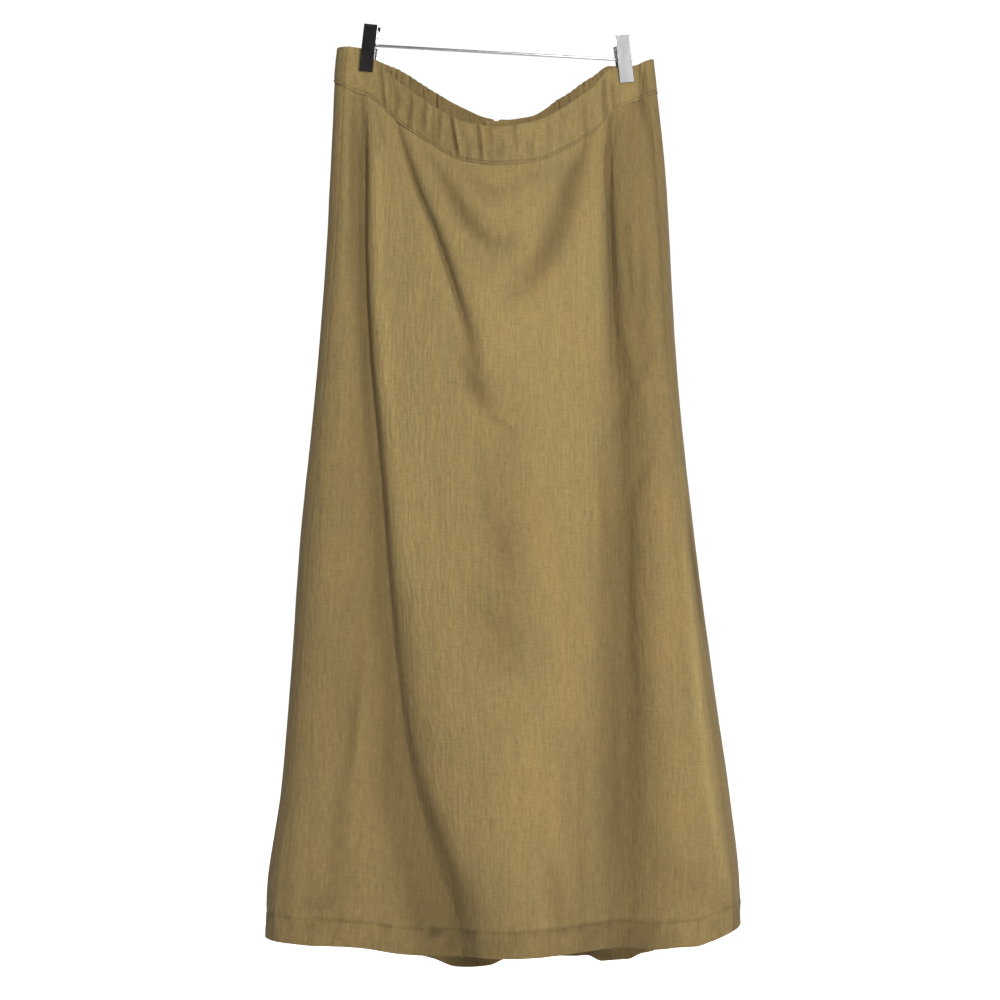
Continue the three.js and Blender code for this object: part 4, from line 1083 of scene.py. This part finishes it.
class Tree:
    """A material's node tree, with short ways to add and join nodes."""

    def __init__(self, name):
        self.material = bpy.data.materials.new(name)
        self.material.use_nodes = True
        self.nodes = self.material.node_tree.nodes
        self.links = self.material.node_tree.links
        self.shader = self.nodes["Principled BSDF"]

    def add(self, kind, inputs=(), **values):
        node = self.nodes.new("ShaderNode" + kind)
        for name, value in values.items():
            setattr(node, name, value)
        for name, value in dict(inputs).items():
            self.put(node.inputs[name], value)
        return node

    def put(self, socket, value):
        if isinstance(value, bpy.types.NodeSocket):
            self.links.new(value, socket)
        else:
            socket.default_value = value

    def set(self, name, value):
        self.put(self.shader.inputs[name], value)

    def scaled(self, source, x, y, z=1.0):
        return self.add("Mapping", {"Vector": source, "Scale": (x, y, z)}).outputs["Vector"]

    def lumps(self, vector, detail=2.0, roughness=0.5, kind="2D"):
        made = self.add(
            "TexNoise",
            {"Vector": vector, "Scale": 1.0, "Detail": detail, "Roughness": roughness},
            noise_dimensions=kind,
        )
        return made.outputs[0]

    def sum(self, a, b, operation="ADD", **more):
        return self.add("Math", {0: a, 1: b}, operation=operation, **more).outputs[0]

    def total(self, *parts, base):
        """A base value with weighted lumps on it, each counted from its middle."""
        for value, weight in parts:
            base = self.sum(self.sum(self.sum(value, 0.5, "SUBTRACT"), weight, "MULTIPLY"), base)
        return base

    def blend(self, factor, first, second):
        made = self.add("Mix", {"Factor": factor}, data_type="RGBA")
        made.inputs[6].default_value = (*first, 1)
        made.inputs[7].default_value = (*second, 1)
        return made.outputs[2]

    def bump(self, height, strength, distance, normal=None):
        made = self.add("Bump", {"Height": height, "Strength": strength, "Distance": distance})
        if normal:
            self.put(made.inputs["Normal"], normal)
        return made.outputs[0]

    def spread(self, value, low, high):
        made = self.add("MapRange", {"Value": value, "To Min": low, "To Max": high})
        made.inputs["From Min"].default_value = 0.25
        made.inputs["From Max"].default_value = 0.75
        return made.outputs[0]


def linen(name, settings, lightness=1.0):
    """Plain woven linen: slubby upright and crossing yarns, two close tones, matt."""
    tree = Tree(name)
    cloth = tree.add("UVMap", uv_map="Cloth").outputs["UV"]
    upright = tree.lumps(tree.scaled(cloth, 400, 85), 2.0, 0.6)
    slubs = tree.lumps(tree.scaled(cloth, 300, 22), 2.0, 0.5)
    streaks = tree.lumps(tree.scaled(cloth, 90, 7), 2.0, 0.5)
    crossing = tree.lumps(tree.scaled(cloth, 75, 480), 2.0, 0.6)
    clouds = tree.lumps(tree.scaled(cloth, 24, 11), 3.0, 0.6)
    speckle = tree.lumps(tree.scaled(cloth, 760, 620), 2.0, 0.7)

    # The tone attribute holds the painted shade and light: it scales the colour, and turns it browner where
    # it is darker.
    tone = tree.add("Attribute", attribute_name="tone").outputs["Fac"]
    drop = tree.add("SeparateXYZ", {0: cloth}).outputs["Y"]
    blend = tree.total((streaks, 0.4), (clouds, 1.7), (tone, -1.1), (drop, -0.35), base=0.85)
    colour = tree.blend(blend, settings.green_yarn, settings.brown_yarn)
    light = tree.total(
        (upright, 0.4), (slubs, 0.24), (streaks, 0.16), (clouds, 0.14), (crossing, 0.26), (speckle, 0.45),
        base=lightness,
    )
    shaded = tree.add(
        "VectorMath", {0: colour, "Scale": tree.sum(light, tone, "MULTIPLY")}, operation="SCALE"
    )
    tree.set("Base Color", shaded.outputs[0])
    tree.set("Roughness", tree.spread(streaks, 0.85, 0.95))
    tree.set("Sheen Weight", 0.08)
    tree.set("Sheen Roughness", 0.5)
    tree.set("Specular IOR Level", 0.2)

    threads = tree.lumps(tree.scaled(cloth, 1500, 110), 1.0, 0.4)
    picks = tree.lumps(tree.scaled(cloth, 130, 1500), 1.0, 0.4)
    creping = tree.lumps(tree.scaled(cloth, 210, 62), 3.0, 0.62)
    normal = tree.bump(tree.sum(threads, picks), 0.4, 0.0002)
    normal = tree.bump(upright, 0.6, 0.0004, normal)
    tree.set("Normal", tree.bump(creping, 0.9, 0.0014, normal))
    return tree.material


def thread_material(name, settings):
    """Matt sewing thread, a shade off the cloth."""
    tree = Tree(name)
    place = tree.add("TexCoord").outputs["Object"]
    twist = tree.lumps(tree.scaled(place, 2600, 2600, 2600), 1.0, 0.5, "3D")
    tree.set("Base Color", tree.blend(twist, settings.brown_yarn, settings.green_yarn))
    tree.set("Roughness", 0.7)
    tree.set("Normal", tree.bump(twist, 0.4, 0.0001))
    return tree.material


def metal(name, colour, roughness, worn=0.06, scratch=0.00002):
    """Polished or satin metal with faint rubbing."""
    tree = Tree(name)
    place = tree.add("TexCoord").outputs["Object"]
    rub = tree.lumps(tree.scaled(place, 60, 60, 14), 4.0, 0.6, "3D")
    fine = tree.lumps(tree.scaled(place, 900, 900, 120), 2.0, 0.5, "3D")
    tree.set("Base Color", tree.blend(rub, [0.93 * c for c in colour], colour))
    tree.set("Metallic", 1.0)
    tree.set("Roughness", tree.spread(rub, roughness, roughness + worn))
    tree.set("Normal", tree.bump(fine, 0.25, scratch))
    return tree.material


# ---------------------------------------------------------------- settings


def colour_property(name, description, default):
    return bpy.props.FloatVectorProperty(
        name=name, description=description, subtype="COLOR", size=3, min=0, max=1, default=default
    )


def length_property(name, description, default):
    return bpy.props.FloatProperty(
        name=name, description=description, unit="LENGTH", subtype="DISTANCE", min=0, default=default
    )


class SkirtSettings(bpy.types.PropertyGroup):
    """Sizes and colours of the cloth."""

    cloth_thickness: length_property("Cloth thickness", "Thickness of one layer of linen", 0.0009)
    hem_depth: length_property("Hem depth", "Depth of the turned-up hem", 0.027)
    green_yarn: colour_property("Green yarn", "The linen's greener tone", (0.260, 0.199, 0.081))
    brown_yarn: colour_property("Brown yarn", "The linen's browner tone", (0.274, 0.194, 0.077))


class HangerSettings(bpy.types.PropertyGroup):
    """Finish of the hanger and of the zip's metal."""

    rod_radius: length_property("Rod radius", "Radius of the hanger's rod", 0.0015)
    edge_round: length_property("Edge rounding", "Rounding of the pressed metal's edges", 0.00025)
    chrome_colour: colour_property("Chrome", "Colour of the plated metal", (0.86, 0.87, 0.88))
    zip_colour: colour_property("Zip metal", "Colour of the slider and its tab", (0.58, 0.52, 0.38))


class StageSettings(bpy.types.PropertyGroup):
    """Camera, lights and floor."""

    distance: length_property("Camera distance", "From the camera to the skirt", 2.4)
    lens: bpy.props.FloatProperty(
        name="Lens", description="Focal length", unit="CAMERA", min=10, default=83.9
    )
    floor_drop: length_property("Floor", "How far the floor lies below the rod", 1.35)
    key: bpy.props.FloatProperty(
        name="Key light", description="Power of the large soft light", unit="POWER", default=60
    )
    fill: bpy.props.FloatProperty(
        name="Fill light", description="Power of the light on the other side", unit="POWER", default=9
    )


# ---------------------------------------------------------------- operators


class SKIRT_OT_panels(bpy.types.Operator):
    """Make the front panel and the two back panels"""

    bl_idname = "skirt.panels"
    bl_label = "Make Panels"

    def execute(self, context):
        settings = context.scene.skirt
        material = linen("linen", settings)
        seam = float(right_seam(np.array(-500.0)))
        spots = [(angle + seam) / (2 * seam) for angle in (*DART_ANGLES, PLACKET_ANGLE)]
        front = crowded(FRONT_COLUMNS, spots)
        back = crowded(BACK_COLUMNS, ())
        plan = (
            ("skirt_front", "front", front, 11, (0.52, 0.875), 0.357),
            ("skirt_back_right", "back_right", back, 21, (0.33, 0.905), 0.232),
            ("skirt_back_left", "back_left", back, 41, (0.33, 0.92), 0.234),
        )
        for name, edges, portions, seed, flat, area in plan:
            mesh = panel(name, EDGES[edges], portions, seed, settings)
            piece = new_object(name, mesh, material)
            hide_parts(*PANEL_STRIPS[edges])
        return {"FINISHED"}


class SKIRT_OT_waistband(bpy.types.Operator):
    """Make the plain front waistband and the two gathered back ones"""

    bl_idname = "skirt.waistband"
    bl_label = "Make Waistband"

    def execute(self, context):
        material = linen("linen_band", context.scene.skirt, 0.88)
        long = crowded(BAND_FRONT_COLUMNS, ())
        short = crowded(BAND_BACK_COLUMNS, ())
        plan = (
            ("waistband_front", "front", long, 51, True, "front_waistband", (0.372, 0.039)),
            ("waistband_back_right", "back_right", short, 61, False, "back_waistband_right", (0.235, 0.039)),
            ("waistband_back_left", "back_left", short, 71, False, "back_waistband_left", (0.235, 0.039)),
        )
        for name, edges, portions, seed, front, node, flat in plan:
            mesh = band(name, EDGES[edges], portions, seed, front)
            piece = new_object(name, mesh, material)
            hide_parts(node)
        return {"FINISHED"}


class SKIRT_OT_stitching(bpy.types.Operator):
    """Sew the band's edge stitch and the hem"""

    bl_idname = "skirt.stitching"
    bl_label = "Make Stitching"

    def execute(self, context):
        settings = context.scene.skirt
        material = thread_material("sewing_thread", settings)
        hem_deep = settings.hem_depth / MM
        side = float(right_seam(-60.0))
        band_spans = (
            (0.5 - side, side - 0.5),
            (side + 0.5, CENTRE_BACK - 0.8),
            (CENTRE_BACK + 0.8, 360 - side - 0.5),
        )
        hem_spans = ((-76, 76), (76.5, CENTRE_BACK - 0.3), (CENTRE_BACK + 0.3, 283.5))
        band_lines, hem_lines = [], []
        for start, end in band_spans:
            angles = np.linspace(start, end, 400)
            band_lines.append(line_on(angles, band_seam(angles) + BAND_STITCH, BAND_OUT - 0.3))
        for start, end in hem_spans:
            angles = np.linspace(start, end, 500)
            hem_lines.append(line_on(angles, hem_line(angles) + hem_deep - HEM_STITCH, -0.35))
        for name, lines in (("band_stitching", band_lines), ("hem_stitching", hem_lines)):
            new_object(name, stitch_mesh(name, lines), material)
        return {"FINISHED"}


class SKIRT_OT_zip(bpy.types.Operator):
    """Make the zip's tape and coil, and finish its slider and pull tab"""

    bl_idname = "skirt.zip"
    bl_label = "Make Zip"

    def execute(self, context):
        settings, hanger = context.scene.skirt, context.scene.skirt_hanger
        tape = linen("zip_tape_cloth", settings, 0.86)
        top = float(band_top(np.array(float(CENTRE_BACK)))) - ZIP_TOP
        edges = [beside(centre_back, sign * TAPE_WIDE / 2) for sign in (-1, 1)]
        heights = [
            (lambda angle, p=p: np.full(np.shape(angle), top - p * ZIP_LENGTH))
            for p in np.linspace(0, 1, 90)
        ]
        angle, z = settle(edges, np.linspace(0, 1, 17), heights)
        points, out = cloth_point(angle, z), cloth_normal(angle, z)
        flat = laid_flat(points, angle, CENTRE_BACK)
        ridge = 0.12 * bell(np.abs(flat[..., 0]) - 5, 1)
        mesh = shell(
            "zip_tape_woven",
            points + out * (TAPE_FACE + ridge)[..., None],
            points + out * (TAPE_FACE - TAPE_THICK),
            flat,
            np.ones(angle.shape),
        )
        piece = new_object("zip_tape_woven", mesh, tape)
        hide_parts("zip_tape")

        coil = coil_mesh("zip_coil", top - COIL_DROP, top - ZIP_LENGTH + COIL_SHORT)
        new_object("zip_coil", coil, thread_material("zip_coil_yarn", settings))
        brass = metal("zip_brass", hanger.zip_colour, 0.28)
        for node, body in (("zip_slider", SKIRT_BODY), ("zip_pull", PULL_BODY)):
            piece = finished_metal(node, f"{node}_cast", brass, 0.2 * MM, body)
            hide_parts(node)
        return {"FINISHED"}


def coil_mesh(name, top, end):
    """The closed chain's coil: one small loop after another across the tape's middle."""
    pitch, thick, reach, sides = 1.5, 0.4, 2.2, 6
    heights = np.arange(top, end, -pitch)
    angles = np.full(len(heights), float(CENTRE_BACK))
    out = cloth_normal(angles, heights)
    places = cloth_point(angles, heights) + out * (TAPE_FACE + 0.45)
    along_it = np.array([1.0, 0, 0])
    loops = [(along_it * reach, face, place) for place, face in zip(places, out)]
    return loop_mesh(name, loops, COIL_RINGS, thick, sides, 0.8)


def round_edges(piece, width, segments, bend, smooth):
    """Bevels the edges that turn by more than `bend` degrees, and smooths those under `smooth`."""
    bevel = piece.modifiers.new("edges", "BEVEL")
    bevel.width = width
    bevel.segments = segments
    bevel.limit_method = "ANGLE"
    bevel.angle_limit = math.radians(bend)
    bpy.ops.object.modifier_apply(modifier=bevel.name)
    bpy.ops.object.shade_smooth_by_angle(angle=math.radians(smooth))


def finished_metal(node, name, material, edge_round, body=SKIRT_BODY):
    """A copy of a packed metal node with its triangles merged and its edges rounded."""
    mesh = CAD_NODES[node].data.copy()
    mesh.name = name
    piece = new_object(name, mesh, material, body)
    only(piece)
    bpy.ops.object.mode_set(mode="EDIT")
    bpy.ops.mesh.select_all(action="SELECT")
    bpy.ops.mesh.remove_doubles(threshold=0.00001)
    bpy.ops.mesh.dissolve_limited(angle_limit=math.radians(1))
    bpy.ops.object.mode_set(mode="OBJECT")
    round_edges(piece, edge_round, 2, 40, 38)
    level = piece.modifiers.new("level", "WEIGHTED_NORMAL")
    level.keep_sharp = True
    bpy.ops.object.modifier_apply(modifier=level.name)
    return piece


def only(piece):
    bpy.ops.object.select_all(action="DESELECT")
    piece.select_set(True)
    bpy.context.view_layer.objects.active = piece


class SKIRT_OT_hanger(bpy.types.Operator):
    """Make the rod, and finish the clips' jaws, pins and springs"""

    bl_idname = "skirt.hanger"
    bl_label = "Make Hanger"

    def execute(self, context):
        settings = context.scene.skirt_hanger
        chrome = metal("chrome", settings.chrome_colour, 0.15)
        dull = metal("rod_chrome", [0.66 * c for c in settings.chrome_colour], 0.3)
        steel = metal("spring_steel", (0.58, 0.6, 0.62), 0.25)
        low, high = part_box("hanger_rod")
        reach = high - low
        fall = math.atan2(reach.z - 2 * settings.rod_radius, reach.x)
        long = math.hypot(reach.x, reach.z - 2 * settings.rod_radius)
        bpy.ops.object.select_all(action="DESELECT")
        bpy.ops.mesh.primitive_cylinder_add(
            vertices=40,
            radius=settings.rod_radius,
            depth=long,
            location=(low + high) / 2,
            rotation=(0, math.pi / 2 + fall, 0),
        )
        rod = context.active_object
        rod.name = rod.data.name = "rod_round"
        bpy.ops.object.transform_apply(location=True, rotation=True, scale=True)
        round_edges(rod, 2 * settings.edge_round, 3, 30, 40)
        rod.data.materials.append(dull)
        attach(rod, SKIRT_BODY)
        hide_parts("hanger_rod")
        for side in ("left", "right"):
            for part in ("front_jaw", "back_jaw", "pin", "spring"):
                node = f"clip_{side}_{part}"
                sprung = part == "spring"
                finish, slot = (steel, "spring_steel") if sprung else (chrome, "chrome")
                rounding = 0.3 * settings.edge_round if part != "front_jaw" else settings.edge_round
                piece = finished_metal(node, f"{node}_made", finish, rounding)
                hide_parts(node)
        return {"FINISHED"}


class SKIRT_OT_stage(bpy.types.Operator):
    """Set up the camera, the lights and the pale floor"""

    bl_idname = "skirt.stage"
    bl_label = "Set Up Stage"

    def execute(self, context):
        scene, settings = context.scene, context.scene.skirt_stage
        camera = bpy.data.objects.new("camera", bpy.data.cameras.new("camera"))
        scene.collection.objects.link(camera)
        camera.location = (CAMERA_X, -settings.distance, CAMERA_Z)
        camera.rotation_euler = (math.pi / 2, 0, 0)
        camera.data.lens = settings.lens
        camera.data.sensor_width = 36
        scene.camera = camera
        scene.view_settings.view_transform = "Standard"

        world = bpy.data.worlds.new("studio")
        world.use_nodes = True
        scene.world = world
        nodes, links = world.node_tree.nodes, world.node_tree.links
        glow = nodes["Background"]
        glow.inputs["Color"].default_value = (1, 1, 1, 1)
        seen = nodes.new("ShaderNodeLightPath")
        power = nodes.new("ShaderNodeMapRange")
        power.inputs["To Min"].default_value = 0.22
        power.inputs["To Max"].default_value = 1.05
        links.new(seen.outputs["Is Camera Ray"], power.inputs["Value"])
        links.new(power.outputs[0], glow.inputs["Strength"])

        bpy.ops.object.select_all(action="DESELECT")
        bpy.ops.mesh.primitive_plane_add(size=14, location=(0, 0, -settings.floor_drop))
        floor = context.active_object
        floor.name = "floor"
        pale = Tree("pale_floor")
        grain = pale.lumps(pale.add("TexCoord").outputs["Object"], 2.0, 0.5, "3D")
        pale.set("Base Color", (0.93, 0.93, 0.93, 1))
        pale.set("Roughness", pale.spread(grain, 0.85, 0.95))
        pale.set("Emission Color", (1, 1, 1, 1))
        seen_directly = pale.add("LightPath").outputs["Is Camera Ray"]
        pale.set("Emission Strength", pale.total((seen_directly, 0.8), base=0.6))
        floor.data.materials.append(pale.material)

        self.card("dark_card", (-0.8, -1.45, -0.1), (1.0, 2.4), -0.35, (0.01, 0.006, 0.006), 0)
        self.card("bright_card", (1.14, -2.42, -0.42), (0.8, 0.7), 0, (0.1, 0.1, 0.1), 0.75)
        self.light(scene, "key", (0.85, -2.15, 0.8), 0.7, settings.key, (1.0, 0.985, 0.955))
        fill = self.light(scene, "fill", (-1.3, -2.3, 0.3), 1.2, settings.fill, (1.0, 0.97, 0.93))
        fill.visible_glossy = False
        self.light(scene, "back", (0.6, 2.3, 0.9), 1.5, settings.key * 0.8, (1.0, 0.98, 0.96))
        return {"FINISHED"}

    @staticmethod
    def card(name, place, size, turn, colour, glow):
        """An upright board that only shows as a reflection in the polished metal."""
        bpy.ops.object.select_all(action="DESELECT")
        bpy.ops.mesh.primitive_plane_add(size=1, location=place)
        board = bpy.context.active_object
        board.scale = (*size, 1)
        board.rotation_euler = (math.pi / 2, 0, turn)
        board.name = name
        board.visible_camera = board.visible_diffuse = board.visible_shadow = False
        tree = Tree(name)
        grain = tree.lumps(tree.add("TexCoord").outputs["Object"], 2.0, 0.5, "3D")
        tree.set("Base Color", (*colour, 1))
        tree.set("Roughness", tree.spread(grain, 0.9, 1.0))
        tree.set("Emission Color", (1, 1, 1, 1))
        tree.set("Emission Strength", glow)
        board.data.materials.append(tree.material)

    @staticmethod
    def light(scene, name, place, size, power, colour):
        data = bpy.data.lights.new(name, "AREA")
        data.shape = "DISK"
        data.size = size
        data.energy = power
        data.color = colour
        lamp = bpy.data.objects.new(name, data)
        scene.collection.objects.link(lamp)
        lamp.location = place
        towards = Vector(LIGHT_AIM) - lamp.location
        lamp.rotation_euler = towards.to_track_quat("-Z", "Y").to_euler()
        return lamp


class VIEW3D_PT_skirt(bpy.types.Panel):
    """Lists the skirt's pieces and settings"""

    bl_idname = "VIEW3D_PT_skirt"
    bl_label = "Midi Skirt"
    bl_space_type = "VIEW_3D"
    bl_region_type = "UI"
    bl_category = "Skirt"

    def draw(self, context):
        for group in (context.scene.skirt, context.scene.skirt_hanger, context.scene.skirt_stage):
            box = self.layout.box()
            for name in group.__annotations__:
                box.prop(group, name)
        for operator in OPERATORS:
            self.layout.operator(operator.bl_idname)


SETTINGS = {"skirt": SkirtSettings, "skirt_hanger": HangerSettings, "skirt_stage": StageSettings}
OPERATORS = (
    SKIRT_OT_panels,
    SKIRT_OT_waistband,
    SKIRT_OT_stitching,
    SKIRT_OT_zip,
    SKIRT_OT_hanger,
    SKIRT_OT_stage,
)


def register():
    for cls in (*SETTINGS.values(), *OPERATORS, VIEW3D_PT_skirt):
        bpy.utils.register_class(cls)
    for name, group in SETTINGS.items():
        setattr(bpy.types.Scene, name, bpy.props.PointerProperty(type=group))


def unregister():
    for name in SETTINGS:
        delattr(bpy.types.Scene, name)
    for cls in reversed((*SETTINGS.values(), *OPERATORS, VIEW3D_PT_skirt)):
        bpy.utils.unregister_class(cls)


def main():
    register()
    bpy.ops.skirt.panels()
    bpy.ops.skirt.waistband()
    bpy.ops.skirt.stitching()
    bpy.ops.skirt.zip()
    bpy.ops.skirt.hanger()
    bpy.ops.skirt.stage()


if __name__ == "__main__":
    main()
